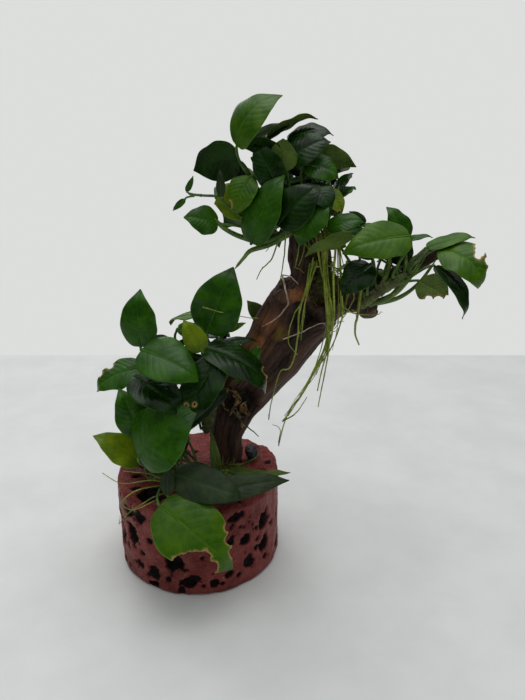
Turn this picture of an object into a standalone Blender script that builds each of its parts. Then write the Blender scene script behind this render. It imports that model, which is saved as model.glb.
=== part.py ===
# Four small anubias plants growing on a forked piece of driftwood, which stands
# on a pocked, drum-shaped red stone. All sizes are in millimetres until a mesh
# is made. +Z is up, +X to the right, and the origin is the middle of the
# stone's flat underside.
import math

import bmesh
import bpy
from mathutils import Vector
from mathutils.bvhtree import BVHTree

MM = 0.001
GAP = 0.35                    # clear space left between two pieces

STONE_RADIUS = 51
STONE_HEIGHT = 57
STONE_SIDES = 36
FOOT_BEVEL = 2.5              # rounding where the stone meets the ground
RIM_BEVEL = 3
PIT_OFFSET = 0.1              # how far outside the wall a pit's middle is, as a share of its radius

WOOD_LEAN = 40                # tilt of the fork's cut face, in degrees
FORK = Vector((68, 3, 165))   # middle of the trunk's upper end
TRUNK_ROUTE = [(17, 8, STONE_HEIGHT + GAP), (17, 8, 76), (22, 8, 95), (34, 7, 114), (46, 5, 131),
               (57, 4, 148)]
TRUNK_HALF_WIDTH = [10, 10.5, 13, 17, 19, 20, 21.5]
TRUNK_HALF_DEPTH = [10, 10, 11, 12, 13, 14, 14]

RHIZOME_RADIUS = 3.4
STALK_RADIUS = 0.8
BLADE_HALF_THICKNESS = 0.5
ROOT_RADIUS = 0.7
BLADE_SAG = -0.12             # drop of a blade's edges, as a share of its half width
PLACES_TRIED = 400            # how many small moves a crowded leaf may try

# Pits in the stone's side: (angle from the front, height, radius).
PITS = [
    (30, 49, 3.2), (55, 37, 5.0), (80, 7, 3.4), (38, 31, 4.0), (26, 33, 2.4),
    (55, 20, 5.0), (41, 14, 3.0), (14, 8, 3.0), (-3, 9, 4.0), (-29, 12, 3.5),
    (-13, 23, 5.4), (-52, 45, 3.2), (-38, 46, 3.4), (-49, 31, 5.6), (-67, 19, 4.0),
    (-95, 36, 4.5), (-120, 16, 5.0), (-140, 40, 4.0), (-165, 24, 5.2), (165, 44, 3.6),
    (140, 18, 4.6), (118, 38, 5.0), (98, 22, 4.2),
]

# Every rhizome rises from left to right, from its start to its end.
RHIZOMES = {
    "top": {"start": (32, -8, 204), "end": (80, -6, 217), "bow": 3},
    "right": {"start": (94, -10.5, 165), "end": (122, -9, 182), "bow": 2},
    "mid": {"start": (6, -3, 84), "end": (18, -7, 126), "bow": 2},
    "foot": {"start": (-28, -20, 61.5), "end": (6, -21, 63), "bow": 1},
}

# One row for each leaf, the most open ones first:
#   name, plant, place along the rhizome (0 to 1),
#   stalk (heading, rise, reach), blade (heading, rise, length, width),
#   roll of the blade about its midrib, arch, colour.
# Headings are plan angles: 0 right, 90 away, 180 left, 270 towards the front.
LEAVES = [
    ("torn_front", "foot", 0.35, (272, 6, 36), (348, -40, 56, 37), 45, 5, "light"),
    ("front_great", "foot", 0.25, (252, 46, 37), (358, 44, 46, 37), 55, 5, "mid"),
    ("grey_front", "foot", 0.55, (272, 30, 26), (350, -14, 42, 22), 45, 2, "dark"),
    ("lance", "foot", 0.75, (284, 6, 30), (10, 6, 54, 16), 45, 2, "dark"),
    ("boat", "foot", 0.95, (335, 25, 21), (14, -6, 35, 16), -60, -5, "pale"),
    ("left_low_bright", "foot", 0.0, (258, 57, 21), (190, 38, 31, 19), -45, 2, "light"),
    ("left_upright", "foot", 0.12, (254, 68, 37), (178, 70, 30, 20), -65, 2, "mid"),
    ("grey_drop", "foot", 0.45, (272, 13, 30), (92, 75, 18, 8), 0, 0, "dark"),
    ("round_top", "mid", 0.8, (240, 70, 35), (15, 68, 40, 29), 65, 2, "mid"),
    ("front_upper", "mid", 0.65, (219, 37, 60), (340, -20, 36, 28), 35, 3, "mid"),
    ("upper_left", "mid", 0.6, (208, 40, 56), (92, 80, 32, 22), -15, 2, "mid"),
    ("right_arch", "mid", 0.9, (248, 49, 31), (354, -34, 46, 24), 25, 8, "dark"),
    ("spotted", "mid", 0.8, (273, 45, 35), (212, -54, 46, 22), -40, 4, "dark"),
    ("left_curl", "mid", 0.5, (200, 32, 49), (188, -25, 31, 20), -35, 4, "mid"),
    ("dark_mid", "mid", 0.45, (207, 33, 53), (332, -27, 34, 27), 20, 3, "dark"),
    ("young", "mid", 0.75, (246, 59, 34), (178, 62, 20, 13), -75, 1, "light"),
    ("crescent", "mid", 0.5, (289, 35, 29), (207, -38, 36, 12), -10, 2, "dark"),
    ("tall", "top", 0.35, (178, 60, 44), (2, 46, 34, 23), 45, 9, "light"),
    ("front_long", "top", 0.05, (270, -20, 9), (2, 66, 40, 21), 60, 4, "mid"),
    ("front_broad", "top", 0.28, (292, 5, 9), (2, 44, 31, 22), 65, 4, "dark"),
    ("front_hanging", "top", 0.76, (275, 38, 13), (215, -62, 27, 20), -35, 3, "mid"),
    ("shiny_right", "top", 0.6, (155, 74, 28), (2, 26, 26, 19), 50, 3, "dark"),
    ("left_droop", "top", 0.2, (160, 66, 36), (184, -8, 26, 25), 65, 4, "dark"),
    ("left_low", "top", 0.0, (184, 24, 17), (198, 14, 19, 17), -60, 1, "mid"),
    ("left_bright", "top", 0.15, (220, 74, 28), (200, -65, 22, 17), -45, 3, "light"),
    ("left_yellow", "top", 0.1, (145, 74, 16), (182, -5, 20, 21), -80, 2, "light"),
    ("pale_upright", "top", 0.35, (270, 85, 25), (270, 80, 17, 16), 0, 1, "pale"),
    ("upper_grey", "top", 0.4, (128, 68, 45), (6, 22, 29, 16), -20, 2, "pale"),
    ("upper_right", "top", 0.62, (130, 67, 40), (4, 10, 26, 19), 25, 3, "dark"),
    ("dark_roof", "top", 0.52, (120, 76, 33), (180, 17, 22, 18), 40, 2, "dark"),
    ("pale_point", "top", 0.72, (95, 70, 32), (4, -12, 27, 16), -60, 1, "pale"),
    ("right_mid", "top", 0.7, (165, 72, 25), (0, -18, 21, 17), 50, 3, "light"),
    ("dark_left", "top", 0.2, (270, 86, 20), (176, 62, 25, 17), -75, 2, "dark"),
    ("right_dark", "top", 0.75, (240, 76, 11), (322, -42, 20, 17), 25, 3, "dark"),
    ("right_yellow", "top", 0.82, (75, 72, 13), (345, -50, 20, 15), 30, 3, "light"),
    ("right_olive", "top", 0.9, (272, -50, 10), (356, 12, 20, 13), 45, 2, "mid"),
    ("bud_left", "top", 0.05, (184, 50, 25), (100, 84, 14, 5), 0, 0, "dark"),
    ("back_hanging", "top", 0.45, (95, 30, 15), (100, -35, 28, 19), 0, 4, "mid"),
    ("bright", "right", 0.7, (297, 73, 28), (196, -9, 39, 23), -50, 3, "light"),
    ("torn_big", "right", 1.0, (349, 46, 23), (330, -40, 33, 25), 35, 8, "light"),
    ("drooping", "right", 0.9, (331, 28, 18), (332, -54, 34, 14), 20, 6, "dark"),
    ("upright", "right", 0.8, (60, 79, 20), (178, 62, 23, 16), -60, 2, "mid"),
    ("upright_dark", "right", 0.6, (65, 68, 11), (4, 70, 21, 20), 60, 3, "dark"),
    ("ribbed", "right", 0.1, (180, 75, 39), (194, -16, 28, 13), 50, 1, "pale"),
    ("under_dark", "right", 0.2, (254, 65, 23), (202, -42, 23, 18), -40, 2, "dark"),
    ("tip_flat", "right", 1.0, (354, 61, 19), (4, 15, 27, 12), 20, 1, "light"),
    ("torn_pale", "right", 0.8, (310, 13, 14), (356, -30, 19, 18), -70, 1, "pale"),
    ("back_small", "right", 0.55, (78, 64, 28), (170, 27, 19, 11), -25, 1, "mid"),
]

# Long hanging roots, from the rhizome down.
ROOTS = {
    "root_long": [(73, -8, 211), (74, -14, 200), (73, -19, 188), (75, -19, 166), (76, -16, 148),
                  (71, -14, 130), (64, -12, 114), (57, -10, 102), (53, -10, 92), (50, -11, 78)],
    "root_forked": [(79, -9, 209), (79, -16, 198), (78, -20, 184), (79, -21, 164), (78, -19, 148),
                    (74, -17, 130), (72, -15, 116)],
}

COLOURS = {
    "light": (0.10, 0.20, 0.008),
    "mid": (0.035, 0.11, 0.006),
    "dark": (0.012, 0.05, 0.006),
    "pale": (0.14, 0.21, 0.07),
    "stone": (0.15, 0.038, 0.035),
    "wood": (0.055, 0.028, 0.02),
    "rhizome": (0.09, 0.13, 0.02),
    "root": (0.28, 0.36, 0.05),
    "moss": (0.14, 0.15, 0.02),
    "putty": (0.012, 0.013, 0.02),
}
ROUGHNESS = {"light": 0.3, "mid": 0.3, "dark": 0.25, "pale": 0.5, "stone": 0.55}


def clear_scene():
    for obj in list(bpy.data.objects):
        bpy.data.objects.remove(obj, do_unlink=True)


def material_for(name):
    # One Principled material for each colour, shared by the pieces that have it.
    material = bpy.data.materials.get(name)
    if material is None:
        material = bpy.data.materials.new(name)
        material.use_nodes = True
        shader = material.node_tree.nodes["Principled BSDF"]
        shader.inputs["Base Color"].default_value = (*COLOURS[name], 1)
        shader.inputs["Roughness"].default_value = ROUGHNESS.get(name, 0.8)
    return material


def add_piece(name, bm, colour):
    # Scales a millimetre bmesh to metres and links it as an object.
    bmesh.ops.scale(bm, vec=(MM, MM, MM), verts=bm.verts)
    bmesh.ops.recalc_face_normals(bm, faces=bm.faces)
    mesh = bpy.data.meshes.new(name)
    bm.to_mesh(mesh)
    bm.free()
    mesh.shade_smooth()
    mesh.materials.append(material_for(colour))
    obj = bpy.data.objects.new(name, mesh)
    bpy.context.collection.objects.link(obj)
    return obj


def loft(rings):
    # A closed body through rings of equal size, capped at both ends.
    bm = bmesh.new()
    loops = [[bm.verts.new(point) for point in ring] for ring in rings]
    count = len(rings[0])
    for lower, upper in zip(loops, loops[1:]):
        for i in range(count):
            j = (i + 1) % count
            bm.faces.new((lower[i], lower[j], upper[j], upper[i]))
    bm.faces.new(list(reversed(loops[0])))
    bm.faces.new(loops[-1])
    return bm


def direction(heading, rise):
    h, r = math.radians(heading), math.radians(rise)
    return Vector((math.cos(h) * math.cos(r), math.sin(h) * math.cos(r), math.sin(r)))


def rolled_face(heading, rise, roll):
    # The way a blade's upper side looks, once it is rolled about its midrib.
    h, r, turn = math.radians(heading), math.radians(rise), math.radians(roll)
    up = Vector((-math.cos(h) * math.sin(r), -math.sin(h) * math.sin(r), math.cos(r)))
    return up * math.cos(turn) + direction(heading, rise).cross(up) * math.sin(turn)


def smooth_route(points, steps):
    # Catmull-Rom curve through the route's own points.
    points = [Vector(p) for p in points]
    padded = [points[0] * 2 - points[1], *points, points[-1] * 2 - points[-2]]
    spans = len(points) - 1
    route = []
    for k in range(steps + 1):
        place = k / steps * spans
        i = min(int(place), spans - 1)
        t = place - i
        a, b, c, d = padded[i:i + 4]
        route.append(0.5 * (2 * b + (c - a) * t + (2 * a - 5 * b + 4 * c - d) * t ** 2
                            + (3 * b - a - 3 * c + d) * t ** 3))
    return route


def tube_rings(route, across, widths, depths, sides, groove=0.0, first=None, last=None):
    # Rings square to a route. The groove is a dent along the front side.
    rings = []
    for k, centre in enumerate(route):
        before, after = route[max(k - 1, 0)], route[min(k + 1, len(route) - 1)]
        tangent = (after - before).normalized()
        if k == 0 and first:
            tangent = first
        if k == len(route) - 1 and last:
            tangent = last
        back = tangent.cross(across).normalized()
        side = back.cross(tangent).normalized()
        ring = []
        for i in range(sides):
            angle = 2 * math.pi * i / sides
            dent = groove * math.exp(-((angle - 1.5 * math.pi) / 0.5) ** 2)
            knots = 1 + 0.05 * math.sin(3 * angle + 0.9 * k) + 0.03 * math.sin(5 * angle - 1.7 * k)
            reach = (1 - dent) * knots
            ring.append(centre + side * widths[k] * reach * math.cos(angle)
                        + back * depths[k] * reach * math.sin(angle))
        rings.append(ring)
    return rings


def make_stone():
    # A turned drum whose rim is chipped, with round pits cut in its side.
    def rim(angle):
        return (1.2 * math.sin(3 * angle + 0.6) + 0.9 * math.sin(7 * angle + 2.1)
                - 3.0 * math.exp(-((angle - 3.9) / 0.35) ** 2))

    profile = [
        (STONE_RADIUS - FOOT_BEVEL, 0, 0), (STONE_RADIUS - 0.6, FOOT_BEVEL, 0),
        (STONE_RADIUS, 20, 0), (STONE_RADIUS, 38, 0),
        (STONE_RADIUS - 1, STONE_HEIGHT - RIM_BEVEL, 1),
        (STONE_RADIUS - 1 - RIM_BEVEL, STONE_HEIGHT, 1),
        (STONE_RADIUS - 9, STONE_HEIGHT - 1, 0.4), (STONE_RADIUS - 15, STONE_HEIGHT, 0),
    ]
    rings = []
    for radius, height, chip in profile:
        ring = []
        for i in range(STONE_SIDES):
            angle = 2 * math.pi * i / STONE_SIDES
            wander = 0.5 * math.sin(2 * angle + 0.1 * height) + 0.4 * math.sin(5 * angle + 0.2 * height)
            reach = radius + wander
            ring.append((reach * math.cos(angle), reach * math.sin(angle), height + chip * rim(angle)))
        rings.append(ring)
    stone = add_piece("stone_base", loft(rings), "stone")

    cutter = bmesh.new()
    for angle, height, radius in PITS:
        turn = math.radians(angle - 90)
        reach = STONE_RADIUS + radius * PIT_OFFSET
        before = set(cutter.verts)
        bmesh.ops.create_icosphere(cutter, subdivisions=1, radius=radius)
        for vert in set(cutter.verts) - before:
            vert.co += Vector((reach * math.cos(turn), reach * math.sin(turn), height))
    guide = add_piece("pit_cutter", cutter, "stone")
    guide.hide_render = True
    guide.display_type = 'WIRE'
    cut = stone.modifiers.new("pits", 'BOOLEAN')
    cut.operation = 'DIFFERENCE'
    cut.solver = 'EXACT'
    cut.object = guide


def make_driftwood():
    tilt = math.radians(WOOD_LEAN)
    fork_axis = Vector((math.sin(tilt), 0, math.cos(tilt)))
    right = Vector((math.cos(tilt), 0, -math.sin(tilt)))
    along_x = Vector((1, 0, 0))

    trunk = [Vector(p) for p in TRUNK_ROUTE] + [FORK]
    rings = tube_rings(trunk, along_x, TRUNK_HALF_WIDTH, TRUNK_HALF_DEPTH, 16, groove=0.3,
                       first=Vector((0, 0, 1)), last=fork_axis)
    add_piece("driftwood_trunk", loft(rings), "wood")

    seat = FORK + fork_axis * GAP
    stub = [seat - right * 10.5, seat - right * 6 + fork_axis * 8, Vector((66, 3, 192)),
            Vector((62, 3, 208))]
    rings = tube_rings(stub, along_x, [10, 13, 12.5, 7], [10, 10.5, 10, 6], 12,
                       first=fork_axis, last=Vector((0, 0, 1)))
    add_piece("driftwood_left_stub", loft(rings), "wood")

    branch = [seat + right * 12, seat + right * 13 + fork_axis * 5, Vector((101, 2, 172)),
              Vector((122, 1, 184)), Vector((134, 0, 192)), Vector((145, 0, 199))]
    rings = tube_rings(branch, right, [7.5, 7.5, 5.5, 4.5, 4, 3.8], [7.5, 7, 5.5, 4.5, 4, 3.8], 10,
                       first=fork_axis)
    limb = add_piece("driftwood_right_branch", loft(rings), "wood")

    # The short knob under the branch grew from it, so the two are one body.
    knob = [Vector((91, 0, 166)), Vector((98, -3, 164)), Vector((105, -5, 163))]
    rings = tube_rings(knob, Vector((0, 1, 0)), [4.4, 4.8, 3.4], [4.4, 4.8, 3.4], 8)
    guide = add_piece("knob_guide", loft(rings), "wood")
    guide.hide_render = True
    guide.display_type = 'WIRE'
    join = limb.modifiers.new("knob", 'BOOLEAN')
    join.operation = 'UNION'
    join.solver = 'EXACT'
    join.object = guide


def make_lump(name, centre, size, colour):
    # A rounded, slightly uneven lump.
    bm = bmesh.new()
    bmesh.ops.create_icosphere(bm, subdivisions=2, radius=1)
    for k, vert in enumerate(bm.verts):
        bump = 1 + 0.08 * math.sin(2.3 * k)
        vert.co = Vector(centre) + Vector(c * s * bump for c, s in zip(vert.co, size))
    add_piece(name, bm, colour)


def rhizome_point(plant, t):
    spec = RHIZOMES[plant]
    point = Vector(spec["start"]).lerp(Vector(spec["end"]), t)
    return point + Vector((0, 0, spec["bow"] * 4 * t * (1 - t)))


def make_rhizome(plant):
    steps = 8
    route = [rhizome_point(plant, k / steps) for k in range(steps + 1)]
    thick = [RHIZOME_RADIUS * (0.6 if k in (0, steps) else 1 - 0.12 * (k % 2)) for k in range(steps + 1)]
    add_piece(f"rhizome_{plant}", loft(tube_rings(route, Vector((0, 1, 0)), thick, thick, 8)), "rhizome")


def make_root(name, points):
    route = smooth_route(points, 2 * (len(points) - 1))
    thick = [ROOT_RADIUS * (1 - 0.4 * k / len(route)) for k in range(len(route))]
    add_piece(name, loft(tube_rings(route, Vector((1, 0, 0)), thick, thick, 6)), "root")


def blade_outline(s):
    # Half the blade's width, as a share of its widest: round at the base, pointed at the tip.
    return math.sin(math.pi * s ** 0.72) ** 0.85


def leaf_rings(plant, along, stalk, blade, roll, arch, shift=Vector(), swell=0.0):
    # Rings up the stalk, then along the blade. Swell makes a fatter trial copy.
    heading, rise, reach = stalk
    blade_heading, blade_rise, length, width = blade
    root = rhizome_point(plant, along)
    lean = direction(heading, rise)
    forward = direction(blade_heading, blade_rise)
    face = rolled_face(blade_heading, blade_rise, roll)
    run = (Vector(RHIZOMES[plant]["end"]) - Vector(RHIZOMES[plant]["start"])).normalized()
    out = (lean - run * lean.dot(run)).normalized()
    foot = root + out * (RHIZOME_RADIUS + 2 * GAP)
    neck = root + lean * reach + shift
    bend = (forward + lean).normalized() * reach * 0.25

    centres, halves, thicks, sags = [], [], [], []
    for t in (0.0, 0.35, 0.75):
        a, b = foot + out * reach * 0.2, neck - bend
        u = 1 - t
        centres.append(foot * u ** 3 + a * 3 * t * u ** 2 + b * 3 * t * t * u + neck * t ** 3)
        halves.append(STALK_RADIUS)
        thicks.append(STALK_RADIUS)
        sags.append(0)
    for s in (0.0, 0.06, 0.18, 0.36, 0.56, 0.76, 0.92, 1.0):
        centres.append(neck + forward * length * s + face * arch * 4 * s * (1 - s))
        halves.append(max(width / 2 * blade_outline(s), STALK_RADIUS * (1 - 0.5 * s)))
        thicks.append(STALK_RADIUS if s == 0 else BLADE_HALF_THICKNESS * (1 - 0.4 * s))
        sags.append(0 if s == 0 else BLADE_SAG)

    normal = face
    normals = [None] * len(centres)
    for k in reversed(range(len(centres))):
        before, after = centres[max(k - 1, 0)], centres[min(k + 1, len(centres) - 1)]
        tangent = (after - before).normalized()
        normal = (normal - tangent * normal.dot(tangent)).normalized()
        normals[k] = (normal, tangent.cross(normal))

    rings = []
    for centre, half, thick, sag, (up, side) in zip(centres, halves, thicks, sags, normals):
        half, thick = half + swell, thick + swell
        rings.append([centre + side * half * a + up * (sag * half * a * a + thick * b)
                      for a, b in ((-1, 0), (-0.5, -1), (0.5, -1), (1, 0), (0.5, 1), (-0.5, 1))])
    return rings


def tree_of(rings):
    bm = loft(rings)
    bmesh.ops.triangulate(bm, faces=bm.faces)
    tree = BVHTree.FromBMesh(bm)
    bm.free()
    return tree


def trial_shifts():
    # Small moves for a leaf that has no room, the least noticeable first.
    steps = [-9, -7.5, -6, -4.5, -3, -1.5, 0, 1.5, 3, 4.5, 6, 7.5, 9]
    moves = [Vector((x, y, z)) for x in steps for y in steps for z in steps]
    moves = [m for m in moves if m.length < 12.5]
    moves.sort(key=lambda m: (abs(m.x) * 1.6 + abs(m.y) + abs(m.z) * 1.6, m.x, m.y, m.z))
    return moves[:PLACES_TRIED]


def tree_of_piece(obj):
    bm = bmesh.new()
    bm.from_mesh(obj.data)
    bmesh.ops.scale(bm, vec=(1 / MM, 1 / MM, 1 / MM), verts=bm.verts)
    tree = BVHTree.FromBMesh(bm)
    bm.free()
    return tree


def find_room(plant, along, shape, placed):
    # The nearest place where the leaf, swollen by the gap, meets no piece made before it.
    for slide in (0, 0.04, -0.04, 0.08, -0.08):
        place = min(max(along + slide, 0), 1)
        for shift in trial_shifts():
            trial = tree_of(leaf_rings(plant, place, *shape, shift=shift, swell=GAP))
            if not any(trial.overlap(other) for other in placed):
                return place, shift
    return None


def make_leaves():
    placed = [tree_of_piece(obj) for obj in bpy.context.collection.objects
              if obj.display_type != 'WIRE']
    for name, plant, along, *shape, colour in LEAVES:
        room = find_room(plant, along, shape, placed)
        if room is None:
            print("no room for", name)
            continue
        place, shift = room
        rings = leaf_rings(plant, place, *shape, shift=shift)
        placed.append(tree_of(rings))
        add_piece(f"leaf_{plant}_{name}", loft(rings), colour)


clear_scene()
make_stone()
make_driftwood()
make_lump("putty_lump", (33, 9, 62.5), (4.6, 7, 4.6), "putty")
make_lump("moss_tuft", (76, -14, 179), (7, 3, 8), "moss")
for plant_name in RHIZOMES:
    make_rhizome(plant_name)
for root_name, root_points in ROOTS.items():
    make_root(root_name, root_points)
make_leaves()
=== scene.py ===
import math

import bmesh
import bpy
import numpy as np
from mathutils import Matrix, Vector
from mathutils.bvhtree import BVHTree


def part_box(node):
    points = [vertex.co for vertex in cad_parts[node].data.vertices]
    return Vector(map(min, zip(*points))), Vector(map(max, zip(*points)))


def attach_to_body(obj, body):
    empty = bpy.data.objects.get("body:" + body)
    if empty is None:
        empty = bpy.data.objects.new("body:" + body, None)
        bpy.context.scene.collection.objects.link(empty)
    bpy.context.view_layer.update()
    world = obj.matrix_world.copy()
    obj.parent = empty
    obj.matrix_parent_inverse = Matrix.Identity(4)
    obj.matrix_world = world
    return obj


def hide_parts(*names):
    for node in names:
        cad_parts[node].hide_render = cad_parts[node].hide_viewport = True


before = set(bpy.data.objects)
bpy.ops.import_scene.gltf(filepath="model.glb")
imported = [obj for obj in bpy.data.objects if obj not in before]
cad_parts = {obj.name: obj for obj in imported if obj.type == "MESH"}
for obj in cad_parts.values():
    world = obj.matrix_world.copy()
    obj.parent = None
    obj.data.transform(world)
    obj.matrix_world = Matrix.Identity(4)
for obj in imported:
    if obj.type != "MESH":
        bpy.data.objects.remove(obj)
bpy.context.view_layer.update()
mm = 0.001                      # shapes are worked out in millimetres


# small tools for vectors, noise and curves

def unit(v):
    return v / np.linalg.norm(v)


def headingOf(turn, rise):      # turn: 0 right, 90 away, 180 left, 270 front
    t, r = math.radians(turn), math.radians(rise)
    return np.array([math.cos(t) * math.cos(r), math.sin(t) * math.cos(r), math.sin(r)])


def valueNoise(points, size, seed=0):
    p = np.asarray(points, float) / size + 31.7 * seed
    cell = np.floor(p).astype(np.int64)
    f = p - cell
    f = f * f * (3 - 2 * f)
    total = np.zeros(len(p))
    for corner in range(8):
        step = np.array([corner & 1, corner >> 1 & 1, corner >> 2 & 1])
        n = ((cell + step) * np.array([73856093, 19349663, 83492791])).sum(1)
        n = (n ^ (n >> 13)) * 1274126177
        n = (n ^ (n >> 16)) & 0xffff
        total += np.prod(np.where(step, f, 1 - f), axis=1) * (n / 32767.5 - 1)
    return total


def layeredNoise(points, size, seed=0, layers=3):
    return sum(valueNoise(points, size / 2 ** k, seed + k) / 2 ** k for k in range(layers))


def smoothStep(low, high, x):
    t = np.clip((x - low) / (high - low), 0, 1)
    return t * t * (3 - 2 * t)


def throughPoints(points, count):       # Catmull-Rom
    points = [np.array(p, float) for p in points]
    padded = [points[0] * 2 - points[1], *points, points[-1] * 2 - points[-2]]
    spans = len(points) - 1
    path = []
    for k in range(count + 1):
        place = k / count * spans
        i = min(int(place), spans - 1)
        t = place - i
        a, b, c, d = padded[i:i + 4]
        path.append(0.5 * (2 * b + (c - a) * t + (2 * a - 5 * b + 4 * c - d) * t ** 2
                           + (3 * b - a - 3 * c + d) * t ** 3))
    return np.array(path)


def framesAlong(path, across):          # tangent, side and up at each point, without twist
    tangents = np.gradient(path, axis=0)
    tangents /= np.linalg.norm(tangents, axis=1)[:, None]
    sides, side = [], np.array(across, float)
    for t in tangents:
        side = unit(side - t * side.dot(t))
        sides.append(side)
    sides = np.array(sides)
    return tangents, sides, np.cross(tangents, sides)


def tubeMesh(path, radii, sides=8, across=(0.31, 0.9, 0.2)):
    tangents, side, up = framesAlong(path, across)
    angles = 2 * math.pi * np.arange(sides) / sides
    ring = np.cos(angles)[None, :, None] * side[:, None] + np.sin(angles)[None, :, None] * up[:, None]
    radii = np.broadcast_to(np.asarray(radii, float).reshape(len(path), -1), (len(path), sides))
    verts = (path[:, None] + ring * radii[:, :, None]).reshape(-1, 3)
    faces = []
    for i in range(len(path) - 1):
        for j in range(sides):
            a, b = i * sides + j, i * sides + (j + 1) % sides
            faces.append((a, b, b + sides, a + sides))
    faces.append(tuple(reversed(range(sides))))
    faces.append(tuple(range(len(verts) - sides, len(verts))))
    return verts, faces


# pieces: every mesh rides on the one body

def joinParts(parts):                   # parts: (verts, faces, material index, uv)
    verts, faces, marks, uvs, start = [], [], [], [], 0
    for part in parts:
        v, f, mark = part[:3]
        verts.append(v)
        uvs.append(part[3] if len(part) > 3 else np.zeros((len(v), 2)))
        faces += [tuple(start + k for k in face) for face in f]
        marks += list(mark) if hasattr(mark, "__len__") else [mark] * len(f)
        start += len(v)
    return np.concatenate(verts), faces, marks, np.concatenate(uvs)


def addStrands(name, parts, material, nodes=()):
    verts, faces, marks, uvs = joinParts(parts)
    return addPiece(name, verts, faces, [material], nodes)


def addPiece(name, verts, faces, materials, nodes=(), marks=None, uvs=None, shades=None):
    mesh = bpy.data.meshes.new(name)
    mesh.from_pydata((np.asarray(verts) * mm).tolist(), [], faces)
    for material in materials:
        mesh.materials.append(material)
    if marks is not None:
        mesh.polygons.foreach_set("material_index", marks)
    if uvs is not None:
        layer = mesh.uv_layers.new(name="blade")
        corners = np.zeros(len(mesh.loops), np.int32)
        mesh.loops.foreach_get("vertex_index", corners)
        layer.data.foreach_set("uv", np.asarray(uvs, np.float32)[corners].ravel())
    for label, values in (shades or {}).items():
        values = np.asarray(values, np.float32)
        kind = "FLOAT" if values.ndim == 1 else "FLOAT_VECTOR"
        mark = mesh.attributes.new(label, kind, "POINT")
        mark.data.foreach_set("value" if values.ndim == 1 else "vector", values.ravel())
    mesh.shade_smooth()
    mesh.update()
    piece = bpy.data.objects.new(name, mesh)
    bpy.context.scene.collection.objects.link(piece)
    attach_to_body(piece, "root")
    if nodes:
        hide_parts(*nodes)
    return piece


# shader tools

def put(tree, kind, inputs=None, **settings):
    made = tree.nodes.new(kind)
    for key, value in settings.items():
        setattr(made, key, value)
    for key, value in (inputs or {}).items():
        if isinstance(value, bpy.types.NodeSocket):
            tree.links.new(value, made.inputs[key])
        else:
            made.inputs[key].default_value = value
    return made


def calc(tree, operation, *values):
    return put(tree, "ShaderNodeMath", dict(enumerate(values)), operation=operation).outputs[0]


def blendColour(tree, share, first, second, mode="MIX"):
    made = put(tree, "ShaderNodeMix", data_type="RGBA", blend_type=mode)
    for key, value in ((0, share), (6, first), (7, second)):
        if isinstance(value, bpy.types.NodeSocket):
            tree.links.new(value, made.inputs[key])
        else:
            made.inputs[key].default_value = value if key == 0 else (*value, 1)
    return made.outputs[2]


def spread(tree, value, low, high, start=0.0, end=1.0):
    return put(tree, "ShaderNodeMapRange", {"Value": value, "From Min": low, "From Max": high,
                                            "To Min": start, "To Max": end},
               interpolation_type="SMOOTHSTEP").outputs[0]


def newGroup(name, inputs, outputs):
    group = bpy.data.node_groups.new(name, "ShaderNodeTree")
    for label, kind, start in inputs:
        socket = group.interface.new_socket(label, in_out="INPUT", socket_type="NodeSocket" + kind)
        if start is not None:
            socket.default_value = start
    for label, kind in outputs:
        group.interface.new_socket(label, in_out="OUTPUT", socket_type="NodeSocket" + kind)
    return group, group.nodes.new("NodeGroupInput").outputs, group.nodes.new("NodeGroupOutput").inputs


def useGroup(tree, group, inputs):
    made = tree.nodes.new("ShaderNodeGroup")
    made.node_tree = group
    for key, value in inputs.items():
        if isinstance(value, bpy.types.NodeSocket):
            tree.links.new(value, made.inputs[key])
        else:
            made.inputs[key].default_value = value
    return made.outputs


def makeMottle():               # soft patches: 0 to 1 over the surface
    group, ins, outs = newGroup("mottle", [("place", "Vector", None), ("size", "Float", 10.0),
                                           ("low", "Float", 0.35), ("high", "Float", 0.65)],
                                [("patches", "Float")])
    scale = calc(group, "DIVIDE", 1000.0, ins["size"])
    cloud = put(group, "ShaderNodeTexNoise", {"Vector": ins["place"], "Scale": scale, "Detail": 4.0,
                                              "Roughness": 0.6})
    group.links.new(spread(group, cloud.outputs[0], ins["low"], ins["high"]), outs["patches"])
    return group


def makeVeins():                # the veins of one blade, from its own across and along
    group, ins, outs = newGroup("bladeVeins", [("place", "Vector", None), ("veins", "Float", 10.0),
                                               ("sweep", "Float", 0.3), ("width", "Float", 0.2)],
                                [("midrib", "Float"), ("side veins", "Float"), ("ribs", "Float"),
                                 ("margin", "Float")])
    split = put(group, "ShaderNodeSeparateXYZ", {0: ins["place"]})
    centred = calc(group, "MULTIPLY_ADD", split.outputs[0], 2.0, -1.0)
    out = calc(group, "ABSOLUTE", centred)
    half = calc(group, "MULTIPLY", calc(group, "GREATER_THAN", centred, 0.0), 0.5)
    curved = calc(group, "MULTIPLY", calc(group, "POWER", out, 1.4), ins["sweep"])
    phase = calc(group, "MULTIPLY_ADD", calc(group, "SUBTRACT", split.outputs[1], curved),
                 ins["veins"], half)
    away = calc(group, "ABSOLUTE", calc(group, "SUBTRACT", calc(group, "FRACT", phase), 0.5))
    group.links.new(spread(group, away, calc(group, "MULTIPLY", ins["width"], 0.5), 0.0),
                    outs["side veins"])
    wave = calc(group, "SINE", calc(group, "MULTIPLY", phase, 2 * math.pi * 4))
    group.links.new(calc(group, "MULTIPLY_ADD", wave, 0.5, 0.5), outs["ribs"])
    taper = calc(group, "MULTIPLY_ADD", split.outputs[1], -0.035, 0.06)
    group.links.new(spread(group, out, taper, 0.0), outs["midrib"])
    group.links.new(spread(group, out, 0.955, 1.0), outs["margin"])
    return group


mottle, bladeVeins = makeMottle(), makeVeins()


def patchesOf(tree, place, size, low=0.3, high=0.7):    # size in millimetres
    return useGroup(tree, mottle, {"place": place, "size": size, "low": low, "high": high})[0]


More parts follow.
